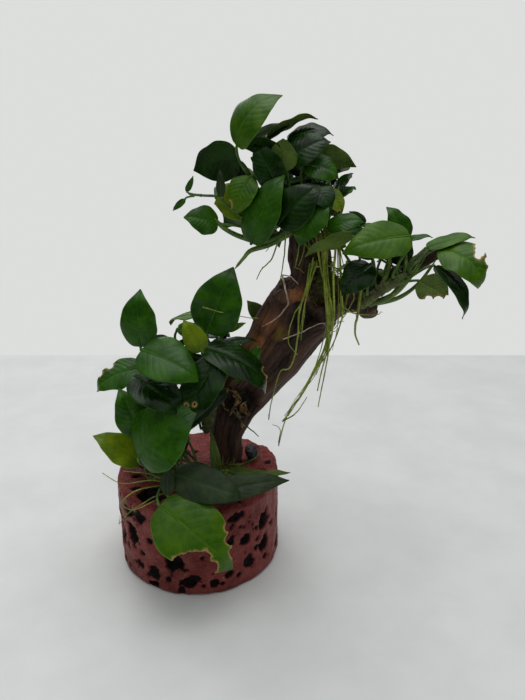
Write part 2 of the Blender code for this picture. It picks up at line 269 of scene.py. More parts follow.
def newMaterial(name, settings):
    material = bpy.data.materials.new(name)
    material.use_nodes = True
    tree = material.node_tree
    shader = tree.nodes["Principled BSDF"]
    for key, value in settings.items():
        shader.inputs[key].default_value = value
    return material, tree, shader


def objectPlace(tree):
    return put(tree, "ShaderNodeTexCoord").outputs["Object"]


def storedMask(tree, name):     # a mask that the mesh carries
    return put(tree, "ShaderNodeAttribute", attribute_name=name).outputs["Fac"]


def attach(tree, shader, **sockets):
    for key, socket in sockets.items():
        tree.links.new(socket, shader.inputs[key.replace("_", " ")])


def bump(tree, height, distance, strength=1.0):
    return put(tree, "ShaderNodeBump", {"Height": height, "Distance": distance,
                                        "Strength": strength}).outputs[0]


# materials

leafTones = {                   # colours of a blade's upper side, and how it shines
    "fresh": {"deep": (0.026, 0.095, 0.0005), "bright": (0.068, 0.160, 0.0008), "rib": (0.11, 0.21, 0.006),
              "gloss": 0.36},
    "lime": {"deep": (0.080, 0.150, 0.0006), "bright": (0.170, 0.250, 0.0010), "rib": (0.22, 0.30, 0.01),
             "gloss": 0.40},
    "green": {"deep": (0.010, 0.058, 0.0005), "bright": (0.032, 0.120, 0.0008), "rib": (0.05, 0.15, 0.006),
              "gloss": 0.30},
    # deep: partly the leaves' own darker green, partly painted shade for blades in shadow under and inside
    # the plants
    "deep": {"deep": (0.002, 0.012, 0.0003), "bright": (0.008, 0.042, 0.0004), "rib": (0.016, 0.07, 0.003),
             "gloss": 0.26},
    # painted sheen: a grey-green base colour that stands in for light reflected off these blades
    "grey": {"deep": (0.016, 0.030, 0.010), "bright": (0.036, 0.064, 0.020), "rib": (0.010, 0.020, 0.006),
             "gloss": 0.46},
    "pale": {"deep": (0.055, 0.095, 0.012), "bright": (0.110, 0.170, 0.028), "rib": (0.15, 0.22, 0.05),
             "gloss": 0.50},
}


dryColour = {"top": (0.42, 0.27, 0.10), "under": (0.36, 0.22, 0.08)}     # torn and eaten edges


def makeLeafTop(name, tone):
    material, tree, shader = newMaterial(name, {"IOR": 1.42, "Specular IOR Level": 0.27,
                                                "Coat Weight": 0.05, "Coat Roughness": 0.2})
    place = put(tree, "ShaderNodeUVMap", uv_map="blade").outputs[0]
    veins = useGroup(tree, bladeVeins, {"place": place, "veins": 9.0, "sweep": 0.26, "width": 0.22})
    patches = patchesOf(tree, objectPlace(tree), 9.0)
    colour = blendColour(tree, patches, tone["deep"], tone["bright"])
    colour = blendColour(tree, calc(tree, "MULTIPLY", veins["side veins"], 0.12), colour, tone["rib"])
    colour = blendColour(tree, calc(tree, "MULTIPLY", veins["midrib"], 0.45), colour, tone["rib"])
    rim = tuple(c * 1.4 + k for c, k in zip(tone["rib"], (0.012, 0.016, 0.002)))
    colour = blendColour(tree, calc(tree, "MULTIPLY", veins["margin"], 0.7), colour, rim)
    dry = storedMask(tree, "dry")
    colour = blendColour(tree, dry, colour, dryColour["top"])
    fine = patchesOf(tree, objectPlace(tree), 1.2)
    rough = calc(tree, "MULTIPLY_ADD", fine, 0.12, tone["gloss"] - 0.05)
    ribs = calc(tree, "MULTIPLY", veins["ribs"], 0.5)
    height = calc(tree, "SUBTRACT", calc(tree, "MULTIPLY_ADD", fine, 0.1, ribs), veins["side veins"])
    attach(tree, shader, Base_Color=colour, Roughness=rough, Normal=bump(tree, height, 0.00005, 0.7))
    return material


def makeLeafUnder(name, tone):
    material, tree, shader = newMaterial(name, {"IOR": 1.4, "Specular IOR Level": 0.3})
    place = put(tree, "ShaderNodeUVMap", uv_map="blade").outputs[0]
    veins = useGroup(tree, bladeVeins, {"place": place, "veins": 9.0, "sweep": 0.26, "width": 0.16})
    patches = patchesOf(tree, objectPlace(tree), 7.0)
    low = tuple(c * 1.2 + k for c, k in zip(tone["deep"], (0.006, 0.012, 0.001)))
    high = tuple(c * 1.2 + k for c, k in zip(tone["bright"], (0.008, 0.016, 0.002)))
    colour = blendColour(tree, patches, low, high)
    raised = calc(tree, "MAXIMUM", veins["side veins"], veins["midrib"])
    colour = blendColour(tree, calc(tree, "MULTIPLY", raised, 0.6), colour,
                         tuple(c * 1.2 + k for c, k in zip(tone["rib"], (0.010, 0.020, 0.002))))
    dry = storedMask(tree, "dry")
    colour = blendColour(tree, dry, colour, dryColour["under"])
    rough = calc(tree, "MULTIPLY_ADD", patches, 0.12, 0.48)
    height = calc(tree, "MULTIPLY_ADD", veins["ribs"], 0.3, raised)
    attach(tree, shader, Base_Color=colour, Roughness=rough, Normal=bump(tree, height, 0.00015, 0.9))
    return material


leafTops = {tone: makeLeafTop("leaf_" + tone, spec) for tone, spec in leafTones.items()}
leafUnders = {tone: makeLeafUnder("underside_" + tone, spec) for tone, spec in leafTones.items()}


def makeSkin(name, dark, light, rough, patchSize, fineSize, depth, settings=None):
    material, tree, shader = newMaterial(name, settings or {})
    place = objectPlace(tree)
    patches = patchesOf(tree, place, patchSize)
    fine = patchesOf(tree, place, fineSize)
    colour = blendColour(tree, patches, dark, light)
    shade = calc(tree, "MULTIPLY_ADD", fine, 0.5, 0.7)
    shadow = put(tree, "ShaderNodeCombineColor", {0: shade, 1: shade, 2: shade}).outputs[0]
    colour = blendColour(tree, 1.0, colour, shadow, "MULTIPLY")
    attach(tree, shader, Base_Color=colour, Roughness=calc(tree, "MULTIPLY_ADD", fine, 0.15, rough - 0.07),
           Normal=bump(tree, fine, depth, 0.9))
    return material


stalkSkin = makeSkin("stalk_skin", (0.035, 0.10, 0.006), (0.10, 0.20, 0.02), 0.4, 6, 1.0, 0.0001)
rhizomeSkin = makeSkin("rhizome_skin", (0.05, 0.05, 0.012), (0.13, 0.17, 0.03), 0.5, 5, 1.2, 0.0003)
rootSkin = makeSkin("root_skin", (0.16, 0.22, 0.015), (0.38, 0.46, 0.06), 0.45, 8, 1.0, 0.0001)
paleRootSkin = makeSkin("root_pale", (0.35, 0.20, 0.12), (0.75, 0.62, 0.50), 0.5, 6, 1.0, 0.0001)
darkRootSkin = makeSkin("root_dark", (0.02, 0.018, 0.006), (0.10, 0.09, 0.02), 0.5, 6, 1.0, 0.0001)
drySkin = makeSkin("dry_sheath", (0.10, 0.045, 0.012), (0.42, 0.27, 0.10), 0.6, 3, 0.8, 0.0002)
mossSkin = makeSkin("moss_strands", (0.03, 0.045, 0.002), (0.16, 0.18, 0.012), 0.7, 3, 0.7, 0.0001)
rootletSkin = makeSkin("rootlet_skin", (0.05, 0.08, 0.002), (0.20, 0.28, 0.012), 0.5, 5, 0.9, 0.0001)
petioleSkin = makeSkin("petiole_skin", (0.05, 0.11, 0.006), (0.20, 0.32, 0.05), 0.38, 9, 1.3, 0.0001)
blackSkin = makeSkin("black_wood", (0.002, 0.002, 0.003), (0.012, 0.012, 0.018), 0.35, 4, 1.0, 0.0003)
puttySkin = makeSkin("putty_skin", (0.004, 0.004, 0.008), (0.014, 0.014, 0.026), 0.38, 5, 1.6, 0.0005)


def makeStoneSkin():
    material, tree, shader = newMaterial("stone_skin", {"IOR": 1.5, "Specular IOR Level": 0.22})
    place = objectPlace(tree)
    broad = patchesOf(tree, place, 26.0, 0.35, 0.62)
    patches = patchesOf(tree, place, 6.0, 0.35, 0.7)
    fine = patchesOf(tree, place, 1.4)
    hollowShade = storedMask(tree, "hollowShade")
    colour = blendColour(tree, broad, (0.165, 0.019, 0.016), (0.270, 0.044, 0.038))
    colour = blendColour(tree, calc(tree, "MULTIPLY", patches, 0.3), colour, (0.46, 0.14, 0.11))
    colour = blendColour(tree, calc(tree, "MULTIPLY", fine, 0.3), colour, (0.045, 0.006, 0.006))
    # painted shade: the pits and the top hollow are coloured near black by how deep they are cut
    colour = blendColour(tree, spread(tree, hollowShade, 0.10, 0.5), colour, (0.006, 0.0008, 0.0008))
    rough = calc(tree, "MULTIPLY_ADD", fine, 0.2, 0.34)
    height = calc(tree, "MULTIPLY_ADD", patches, 1.2, fine)
    attach(tree, shader, Base_Color=colour, Roughness=rough, Normal=bump(tree, height, 0.0005, 0.8))
    return material


def makeWoodSkin():
    material, tree, shader = newMaterial("wood_skin", {"IOR": 1.4, "Specular IOR Level": 0.3})
    grain = put(tree, "ShaderNodeAttribute", attribute_name="grain").outputs["Vector"]
    streaks = patchesOf(tree, grain, 3.0)
    fine = patchesOf(tree, grain, 0.9)
    broad = patchesOf(tree, grain, 16.0, 0.4, 0.62)
    speck = patchesOf(tree, objectPlace(tree), 2.0, 0.5, 0.62)
    colour = blendColour(tree, streaks, (0.012, 0.006, 0.005), (0.130, 0.066, 0.048))
    colour = blendColour(tree, calc(tree, "MULTIPLY", broad, 0.5), colour, (0.24, 0.115, 0.075))
    tan = storedMask(tree, "tan")
    colour = blendColour(tree, tan, colour, (0.50, 0.19, 0.06))
    ochre = storedMask(tree, "ochre")
    colour = blendColour(tree, ochre, colour, (0.20, 0.13, 0.012))
    # painted shade: the dents and cracks are coloured near black
    dark = storedMask(tree, "hollowShade")
    colour = blendColour(tree, dark, colour, (0.006, 0.004, 0.003))
    colour = blendColour(tree, calc(tree, "MULTIPLY", fine, 0.45), colour, (0.010, 0.005, 0.004))
    colour = blendColour(tree, calc(tree, "MULTIPLY", speck, 0.25), colour, (0.10, 0.075, 0.04))
    rough = calc(tree, "MULTIPLY_ADD", streaks, 0.25, 0.38)
    height = calc(tree, "MULTIPLY_ADD", fine, 0.5, streaks)
    attach(tree, shader, Base_Color=colour, Roughness=rough, Normal=bump(tree, height, 0.0006, 0.9))
    return material


stoneSkin, woodSkin = makeStoneSkin(), makeWoodSkin()
print("materials made")


# the stone: a pocked drum

stone = {
    "sides": 400,
    "wallRows": 92,
    "topRows": 46,
    "footRound": 2.5,
    "rimRound": 3.5,
    "lump": 0.8,
    "pitDepth": 0.75,           # as a share of a pit's radius
    # the larger pits in the wall: turn from the front, height, radius
    "pits": [
        (30, 49, 3.2), (55, 37, 5.0), (80, 7, 3.4), (38, 31, 4.0), (26, 33, 2.4),
        (55, 20, 5.0), (41, 14, 3.0), (14, 8, 3.0), (-3, 9, 4.0), (-29, 12, 3.5),
        (-13, 23, 5.4), (-52, 45, 3.2), (-38, 46, 3.4), (-49, 31, 5.6), (-67, 19, 4.0),
        (-95, 36, 4.5), (-120, 16, 5.0), (-140, 40, 4.0), (-165, 24, 5.2), (165, 44, 3.6),
        (140, 18, 4.6), (118, 38, 5.0), (98, 22, 4.2),
    ],
    "smallPits": 230, "smallPitRadius": (1.0, 3.1),
    "topPits": 26, "topPitRadius": (2.0, 5.0),
    "notch": (-30, 0, 4.5),     # chip at the foot
    "hollowShade": (-26, -27, 9.0),  # deep hollow in the top, painted near black as shade: x, y, radius
    "hollowDepth": 7.0,
    "slope": (137, 0.35, 3.2),  # worn part of the rim: turn in plan, width in radians, drop
    "chunk": (18, 3.0),         # broken piece that stands up from the rim: turn in plan, height
}


def makeStone():
    low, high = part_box("stone_base")
    radius = (high.x - low.x) / 2 / mm - 0.7
    height = (high.z - low.z) / mm - 1.8
    foot, rim = stone["footRound"], stone["rimRound"]
    bends = np.linspace(0, math.pi / 2, 7)
    profile = [(r, 0.0, 0) for r in np.linspace(1.0, radius - foot, 14)]
    profile += [(radius - foot + foot * math.sin(b), foot - foot * math.cos(b), 1) for b in bends[1:]]
    profile += [(radius, z, 1) for z in np.linspace(foot, height - rim, stone["wallRows"])[1:]]
    profile += [(radius - rim + rim * math.cos(b), height - rim + rim * math.sin(b), 2) for b in bends[1:]]
    profile += [(r, height, 3) for r in np.linspace(radius - rim, 1.0, stone["topRows"])[1:]]
    sides = stone["sides"]
    turn = 2 * math.pi * np.arange(sides) / sides
    r, z, zone = (np.array([row[k] for row in profile])[:, None] for k in range(3))
    out = np.stack([np.cos(turn), np.sin(turn)], -1)[None]
    points = np.concatenate([out * r[:, :, None], np.broadcast_to(z[:, :, None], (len(profile), sides, 1))],
                            -1).reshape(-1, 3)
    zone = np.broadcast_to(zone, (len(profile), sides)).ravel()
    tall = np.clip((points[:, 2] - height + rim) / rim, 0, 1)       # 0 on the wall, 1 on the top
    flat = np.hypot(points[:, 0], points[:, 1])
    normal = np.stack([points[:, 0] / flat * (1 - tall), points[:, 1] / flat * (1 - tall), tall], -1)
    normal /= np.linalg.norm(normal, axis=1)[:, None]

    random = np.random.default_rng(7)
    pits = []
    for angle, pitHeight, pitRadius in [*stone["pits"], stone["notch"]]:
        t = math.radians(angle - 90)
        pits.append((radius * math.cos(t), radius * math.sin(t), pitHeight, pitRadius * 1.3))
    for k in range(stone["smallPits"]):
        t = random.uniform(0, 2 * math.pi)
        pits.append((radius * math.cos(t), radius * math.sin(t), random.uniform(3, height - 4),
                     random.uniform(*stone["smallPitRadius"])))
    for k in range(stone["topPits"]):
        t, reach = random.uniform(0, 2 * math.pi), random.uniform(22, radius - 4)
        pits.append((reach * math.cos(t), reach * math.sin(t), height,
                     random.uniform(*stone["topPitRadius"])))
    depth = np.zeros(len(points))
    warp = 1 + 0.42 * valueNoise(points, 4.5, 3) + 0.22 * valueNoise(points, 1.9, 5)
    for x, y, pitZ, pitRadius in pits:
        away = np.linalg.norm(points - np.array([x, y, pitZ]), axis=1) / pitRadius * warp
        depth = np.maximum(depth, stone["pitDepth"] * pitRadius * (1 - smoothStep(0.5, 1.0, away)))
    x, y, wide = stone["hollowShade"]
    away = np.hypot(points[:, 0] - x, points[:, 1] - y) / wide * warp
    bowl = stone["hollowDepth"] * (1 - smoothStep(0.4, 1.0, away))
    depth = np.maximum(depth, np.where(tall > 0.5, bowl, 0.0))
    depth[zone == 0] = 0

    lumps = stone["lump"] * (layeredNoise(points, 15.0, 1) + 0.5 * valueNoise(points, 4.5, 9))
    slopeTurn, slopeWidth, drop = stone["slope"]
    slope = np.exp(-((np.arctan2(points[:, 1], points[:, 0]) + math.radians(slopeTurn)) / slopeWidth) ** 2)
    lift = tall * (layeredNoise(points, 9.0, 12) * 1.3 - drop * slope * smoothStep(30, 50, flat))
    chunkTurn, chunkHeight = stone["chunk"]
    near = np.exp(-((np.degrees(np.arctan2(points[:, 1], points[:, 0])) - chunkTurn) / 17) ** 2)
    lift += tall * chunkHeight * near * smoothStep(34, 44, flat) * (1 + 0.6 * valueNoise(points, 3.5, 21))
    moved = points + normal * (np.where(zone == 0, 0, lumps - 0.6) - depth)[:, None]
    moved[:, 2] += lift
    moved[:, 2] = np.where(zone == 0, 0, np.maximum(moved[:, 2], 0.0))
    faces = []
    for i in range(len(profile) - 1):
        for j in range(sides):
            a, b = i * sides + j, i * sides + (j + 1) % sides
            faces.append((a, b, b + sides, a + sides))
    faces.append(tuple(reversed(range(sides))))
    faces.append(tuple(range(len(moved) - sides, len(moved))))
    # painted shade mask: the deeper a pit or the top hollow, the darker its colour
    hollowShade = np.clip(depth / 2.6, 0, 1)
    return addPiece("stoneBase", moved, faces, [stoneSkin], ["stone_base"],
                    shades={"hollowShade": hollowShade})


stoneBase = makeStone()
print("stone made")


# the driftwood: trunk, broken stub and long branch, grown together

wood = {
    "voxel": 0.85, "swell": 0.5,
    "smoothing": (0.6, 7),      # factor and rounds
    "crackDepth": 1.1,
    "limbs": [                  # centre lines that the grain follows
        [(17, 8, 57), (17, 8, 76), (22, 8, 95), (34, 7, 114), (46, 5, 131), (57, 4, 148), (68, 3, 165)],
        [(57, 4, 148), (62, 3, 172), (66, 3, 192), (62, 3, 208)],
        [(57, 4, 148), (78, 3, 160), (101, 2, 172), (122, 1, 184), (134, 0, 192), (145, 0, 199)],
    ],
    "lumps": [                  # knots and burrs: middle, size
        ((58, -7, 170), (13, 6, 6)), ((72, -6, 158), (9, 6, 7)), ((50, -6, 148), (4, 3, 7)),
        ((91, -4, 164), (6, 5, 5)), ((78, 8, 172), (12, 8, 8)), ((40, 12, 128), (8, 6, 12)),
        ((72, 4, 166), (9, 8, 9)), ((101, -2, 159), (6, 5, 4)), ((140, 0, 195), (6, 5, 5)),
    ],
    "dents": [                  # rotted hollows, also painted dark as shade: middle, radius, depth
        ((62, -14, 156), 9, 5.0), ((26, -4, 100), 11, 4.5), ((52, 22, 150), 10, 4.0),
        ((30, 20, 96), 8, 3.5),
        ((68, -12, 184), 6, 3.0),
    ],
    "tan": [((42, -10, 154), 11), ((36, -8, 141), 10), ((60, -12, 172), 7)],
    "ochre": [((50, -8, 148), 5.5)],
}


def limbPlace(points, limb):    # distance from a centre line, and place in its own grain
    line = throughPoints(limb, 40)
    tangents, side, up = framesAlong(line, (0, 1, 0))
    along = np.concatenate([[0], np.cumsum(np.linalg.norm(np.diff(line, axis=0), axis=1))])
    gaps = np.linalg.norm(points[:, None] - line[None], axis=2)
    weight = np.exp(-(gaps - gaps.min(1, keepdims=True)) / 2.0)
    weight /= weight.sum(1, keepdims=True)
    off = points[:, None] - line[None]
    a = (np.einsum("ijk,jk->ij", off, side) * weight).sum(1)
    b = (np.einsum("ijk,jk->ij", off, up) * weight).sum(1)
    s = (weight * along).sum(1)
    return gaps.min(1), np.stack([a, b, s * 0.09], -1)


def makeWood():
    bm = bmesh.new()
    for node in ("driftwood_trunk", "driftwood_left_stub", "driftwood_right_branch"):
        bm.from_mesh(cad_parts[node].data)
    bmesh.ops.remove_doubles(bm, verts=bm.verts, dist=1e-6)
    bm.normal_update()
    for vert in bm.verts:
        vert.co = (vert.co + vert.normal * wood["swell"] * mm) / mm
    for middle, size in wood["lumps"]:
        made = bmesh.ops.create_icosphere(bm, subdivisions=3, radius=1.0)["verts"]
        for vert in made:
            vert.co = [m + c * s for m, c, s in zip(middle, vert.co, size)]
    rough = bpy.data.meshes.new("wood_rough")
    bm.to_mesh(rough)
    bm.free()
    carrier = bpy.data.objects.new("wood_rough", rough)
    bpy.context.scene.collection.objects.link(carrier)
    fuse = carrier.modifiers.new("fuse", "REMESH")
    fuse.mode, fuse.voxel_size = "VOXEL", wood["voxel"]
    relax = carrier.modifiers.new("relax", "SMOOTH")
    relax.factor, relax.iterations = wood["smoothing"]
    fused = carrier.evaluated_get(bpy.context.evaluated_depsgraph_get()).to_mesh()
    count = len(fused.vertices)
    points, normals = np.zeros(count * 3), np.zeros(count * 3)
    fused.vertices.foreach_get("co", points)
    fused.vertices.foreach_get("normal", normals)
    points, normals = points.reshape(-1, 3), normals.reshape(-1, 3)
    faces = [tuple(f.vertices) for f in fused.polygons]
    bpy.data.objects.remove(carrier)
    bpy.data.meshes.remove(rough)

    gaps, places = zip(*(limbPlace(points, limb) for limb in wood["limbs"]))
    near = np.exp(-(np.array(gaps) - np.min(gaps, 0)) / 2.5)
    near /= near.sum(0)
    grain = sum(w[:, None] * p for w, p in zip(near, places))
    ridges = layeredNoise(grain, 6.5, 2) * 1.0 + valueNoise(grain, 1.7, 8) * 0.35
    cracked = smoothStep(-0.2, 0.4, valueNoise(points, 22, 4))
    cracks = np.maximum(0, 1 - np.abs(valueNoise(grain, 4.2, 15)) * 7) * cracked
    dent = np.zeros(count)
    for middle, radius, depth in wood["dents"]:
        away = np.linalg.norm(points - np.array(middle), axis=1) / radius
        dent = np.maximum(dent, depth * (1 - smoothStep(0.5, 1.5, away + 0.15 * valueNoise(points, 4, 6))))
    moved = points + normals * (ridges - wood["crackDepth"] * cracks - dent - wood["swell"])[:, None]
    moved[:, 2] = np.maximum(moved[:, 2], 56.6)

    def patch(spots, hardness=0.6):
        mask = np.zeros(count)
        for middle, radius in spots:
            away = np.linalg.norm(points - np.array(middle), axis=1) / radius
            away = away + 0.3 * valueNoise(grain, 3, 31)
            mask = np.maximum(mask, 1 - smoothStep(hardness, 1.1, away))
        return mask

    # painted shade mask: darker in the dents and cracks, by their depth
    dark = np.clip(dent / 4 + cracks * 0.7, 0, 1)
    return addPiece("driftwood", moved, faces, [woodSkin],
                    ["driftwood_trunk", "driftwood_left_stub", "driftwood_right_branch"],
                    shades={"grain": grain * mm, "hollowShade": dark, "tan": patch(wood["tan"], 0.3) * 0.75,
                            "ochre": patch(wood["ochre"], 0.5) * 0.8})


driftwood = makeWood()
print("driftwood made")


# rhizomes: thick creeping stems with ringed leaf scars

rhizomes = {"radius": 3.4, "bow": {"top": 3, "right": 2, "mid": 2, "foot": 1}, "scarSpacing": 4.2}


def rhizomeEnds(plant):         # the middles of the end rings
    co = np.array([v.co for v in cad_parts["rhizome_" + plant].data.vertices]) / mm
    reach = co @ unit(co.max(0) - co.min(0))
    return co[reach < reach.min() + 1].mean(0), co[reach > reach.max() - 1].mean(0)


rhizomeLine = {plant: rhizomeEnds(plant) for plant in rhizomes["bow"]}


def rhizomePoint(plant, t):
    start, end = rhizomeLine[plant]
    return start + (end - start) * t + np.array([0, 0, rhizomes["bow"][plant] * 4 * t * (1 - t)])


def makeRhizome(plant):
    steps = 110
    path = np.array([rhizomePoint(plant, -0.03 + 1.06 * k / steps) for k in range(steps + 1)])
    along = np.concatenate([[0], np.cumsum(np.linalg.norm(np.diff(path, axis=0), axis=1))])
    sides = 24
    turn = 2 * math.pi * np.arange(sides) / sides
    cycle = along / rhizomes["scarSpacing"] % 1
    scar = np.exp(-((cycle - 0.5) / 0.09) ** 2)
    ends = np.minimum(1, np.sqrt(np.clip(np.minimum(along, along[-1] - along) / 3.5, 0.02, 1)))
    radii = rhizomes["radius"] * ends * (0.9 + 0.13 * scar + 0.1 * (cycle - 0.5))
    grid = np.stack([np.repeat(along, sides), np.tile(np.cos(turn) * 3, len(along)),
                     np.tile(np.sin(turn) * 3, len(along))], -1)
    radii = radii[:, None] * (1 + 0.10 * layeredNoise(grid, 4, 40).reshape(len(path), sides))
    verts, faces = tubeMesh(path, radii, sides, (0, 1, 0))
    return addPiece("rhizome_of_" + plant, verts, faces, [rhizomeSkin], ["rhizome_" + plant])


for plantName in rhizomes["bow"]:
    makeRhizome(plantName)
print("rhizomes made")


# leaves: stalk, thick joint and a thin waved blade with pressed-in veins

leafShape = {
    "stalkRadius": 0.8,
    "thickness": 0.4,
    "acrossSteps": 26,
    "alongSteps": 44,
    "stalkSteps": 22,
    "sag": 0.12,
    "veinCount": 9,
    "veinSweep": 0.26,
    "veinDepth": 0.08,
    "fineAcross": 50,           # the finer grid of a torn blade
    "fineAlong": 76,
}

# plant, leaf, place on the rhizome, stalk (turn, rise, reach), blade (turn, rise, length, width),
# roll, arch, tone. Turn is in plan: 0 right, 90 away, 180 left, 270 front.
leaves = [
    ("foot", "torn_front", 0.35, (272, 6, 36), (348, -40, 56, 37), 45, 5, "fresh"),
    ("foot", "front_great", 0.25, (252, 46, 37), (358, 44, 46, 37), 55, 5, "green"),
    ("foot", "grey_front", 0.55, (272, 30, 26), (350, -14, 42, 22), 45, 2, "grey"),
    ("foot", "lance", 0.75, (284, 6, 30), (10, 6, 54, 16), 45, 2, "grey"),
    ("foot", "boat", 0.95, (335, 25, 21), (14, -6, 35, 16), -60, -5, "pale"),
    ("foot", "left_low_bright", 0.0, (258, 57, 21), (190, 38, 31, 19), -45, 2, "lime"),
    ("foot", "left_upright", 0.12, (254, 68, 37), (178, 70, 30, 20), -65, 2, "green"),
    ("foot", "grey_drop", 0.45, (272, 13, 30), (92, 75, 18, 8), 0, 0, "grey"),
    ("mid", "round_top", 0.8, (240, 70, 35), (15, 68, 40, 29), 65, 2, "green"),
    ("mid", "front_upper", 0.65, (219, 37, 60), (340, -20, 36, 28), 35, 3, "green"),
    ("mid", "upper_left", 0.6, (208, 40, 56), (92, 80, 32, 22), -15, 2, "green"),
    ("mid", "right_arch", 0.9, (248, 49, 31), (354, -34, 46, 24), 25, 8, "deep"),
    ("mid", "spotted", 0.8, (273, 45, 35), (212, -54, 46, 22), -40, 4, "deep"),
    ("mid", "left_curl", 0.5, (200, 32, 49), (188, -25, 31, 20), -35, 4, "green"),
    ("mid", "dark_mid", 0.45, (207, 33, 53), (332, -27, 34, 27), 20, 3, "deep"),
    ("mid", "young", 0.75, (246, 59, 34), (178, 62, 20, 13), -75, 1, "lime"),
    ("mid", "crescent", 0.5, (289, 35, 29), (207, -38, 36, 12), -10, 2, "grey"),
    ("top", "tall", 0.35, (178, 60, 44), (2, 46, 34, 23), 45, 9, "fresh"),
    ("top", "front_long", 0.05, (270, -20, 9), (2, 66, 40, 21), 60, 4, "green"),
    ("top", "front_broad", 0.28, (292, 5, 9), (2, 44, 31, 22), 65, 4, "deep"),
    ("top", "front_hanging", 0.76, (275, 38, 13), (215, -62, 27, 20), -35, 3, "green"),
    ("top", "shiny_right", 0.6, (155, 74, 28), (2, 26, 26, 19), 50, 3, "deep"),
    ("top", "left_droop", 0.2, (160, 66, 36), (184, -8, 26, 25), 65, 4, "deep"),
    ("top", "left_low", 0.0, (184, 24, 17), (198, 14, 19, 17), -60, 1, "green"),
    ("top", "left_bright", 0.15, (220, 74, 28), (200, -65, 22, 17), -45, 3, "fresh"),
    ("top", "left_yellow", 0.1, (145, 74, 16), (182, -5, 20, 21), -80, 2, "lime"),
    ("top", "pale_upright", 0.35, (270, 85, 25), (270, 80, 17, 16), 0, 1, "pale"),
    ("top", "upper_grey", 0.4, (128, 68, 45), (6, 22, 29, 16), -20, 2, "pale"),
    ("top", "upper_right", 0.62, (130, 67, 40), (4, 10, 26, 19), 25, 3, "deep"),
    ("top", "dark_roof", 0.52, (120, 76, 33), (180, 17, 22, 18), 40, 2, "deep"),
    ("top", "pale_point", 0.72, (95, 70, 32), (4, -12, 27, 16), -60, 1, "pale"),
    ("top", "right_mid", 0.7, (165, 72, 25), (0, -18, 21, 17), 50, 3, "green"),
    ("top", "dark_left", 0.2, (270, 86, 20), (176, 62, 25, 17), -75, 2, "deep"),
    ("top", "right_dark", 0.75, (240, 76, 11), (322, -42, 20, 17), 25, 3, "deep"),
    ("top", "right_yellow", 0.82, (75, 72, 13), (345, -50, 20, 15), 30, 3, "lime"),
    ("top", "right_olive", 0.9, (272, -50, 10), (356, 12, 20, 13), 45, 2, "green"),
    ("top", "bud_left", 0.05, (184, 50, 25), (100, 84, 14, 5), 0, 0, "grey"),
    ("top", "back_hanging", 0.45, (95, 30, 15), (100, -35, 28, 19), 0, 4, "green"),
    ("right", "bright", 0.7, (297, 73, 28), (196, -9, 39, 23), -50, 3, "fresh"),
    ("right", "torn_big", 1.0, (349, 46, 23), (330, -40, 33, 25), 35, 8, "fresh"),
    ("right", "drooping", 0.9, (331, 28, 18), (332, -54, 34, 14), 20, 6, "deep"),
    ("right", "upright", 0.8, (60, 79, 20), (178, 62, 23, 16), -60, 2, "green"),
    ("right", "upright_dark", 0.6, (65, 68, 11), (4, 70, 21, 20), 60, 3, "deep"),
    ("right", "ribbed", 0.1, (180, 75, 39), (194, -16, 28, 13), 50, 1, "pale"),
    ("right", "under_dark", 0.2, (254, 65, 23), (202, -42, 23, 18), -40, 2, "deep"),
    ("right", "tip_flat", 1.0, (354, 61, 19), (4, 15, 27, 12), 20, 1, "fresh"),
    ("right", "torn_pale", 0.8, (310, 13, 14), (356, -30, 19, 18), -70, 1, "pale"),
    ("right", "back_small", 0.55, (78, 64, 28), (170, 27, 19, 11), -25, 1, "green"),
]


def bladeOutline(s):            # half width as a share of the widest
    s = np.clip(s, 0, 1)
    return np.sin(math.pi * s ** 0.66) ** 0.74 * (1 - 0.25 * smoothStep(0.76, 1.0, s))


def plainOutline(s):            # the simpler outline of the solid model
    return np.sin(math.pi * np.clip(s, 0, 1) ** 0.72) ** 0.85


def leafBones(plant, along, stalk, blade, roll, arch, shift, steps, bladeSteps):
    lean = headingOf(*stalk[:2])
    forward = headingOf(*blade[:2])
    t, r, turn = math.radians(blade[0]), math.radians(blade[1]), math.radians(roll)
    up = np.array([-math.cos(t) * math.sin(r), -math.sin(t) * math.sin(r), math.cos(r)])
    face = up * math.cos(turn) + np.cross(forward, up) * math.sin(turn)
    start, end = rhizomeLine[plant]
    run = unit(end - start)
    out = unit(lean - run * lean.dot(run))
    root = rhizomePoint(plant, along)
    reach = stalk[2]
    foot = root + out * (rhizomes["radius"] - 0.3)
    neck = root + lean * reach + shift
    bend = unit(forward + lean) * reach * 0.25
    a, b = foot + out * reach * 0.2, neck - bend
    k = np.linspace(0, 1, steps + 1)[:, None]
    path = foot * (1 - k) ** 3 + 3 * a * k * (1 - k) ** 2 + 3 * b * k ** 2 * (1 - k) + neck * k ** 3
    s = bladeSteps[:, None]
    line = neck + forward * blade[2] * s + face * arch * 4 * s * (1 - s)
    return path, line, forward, face


def leafShift(row):             # how far the CAD leaf was moved to make room
    plant, name, along, stalk, blade, roll, arch, tone = row
    s = np.array([0.0, 0.06, 0.18, 0.36, 0.56, 0.76, 0.92, 1.0])
    path, line, forward, face = leafBones(plant, along, stalk, blade, roll, arch, np.zeros(3), 4, s)
    tangents = np.gradient(line, axis=0)
    tangents /= np.linalg.norm(tangents, axis=1)[:, None]
    normal = face - tangents * (tangents @ face)[:, None]
    normal /= np.linalg.norm(normal, axis=1)[:, None]
    side = np.cross(tangents, normal)
    half = np.maximum(blade[3] / 2 * plainOutline(s), leafShape["stalkRadius"] * (1 - 0.5 * s))
    points = [path]
    for a in (-1, -0.5, 0.5, 1):
        sag = leafShape["sag"] * half * a * a
        points.append(line + side * (half * a)[:, None] - normal * sag[:, None])
    points = np.concatenate(points)
    low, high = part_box("leaf_" + plant + "_" + name)
    offLow = np.array(low) / mm - points.min(0)
    offHigh = np.array(high) / mm - points.max(0)
    return np.where(np.abs(offLow) > np.abs(offHigh), offLow, offHigh)


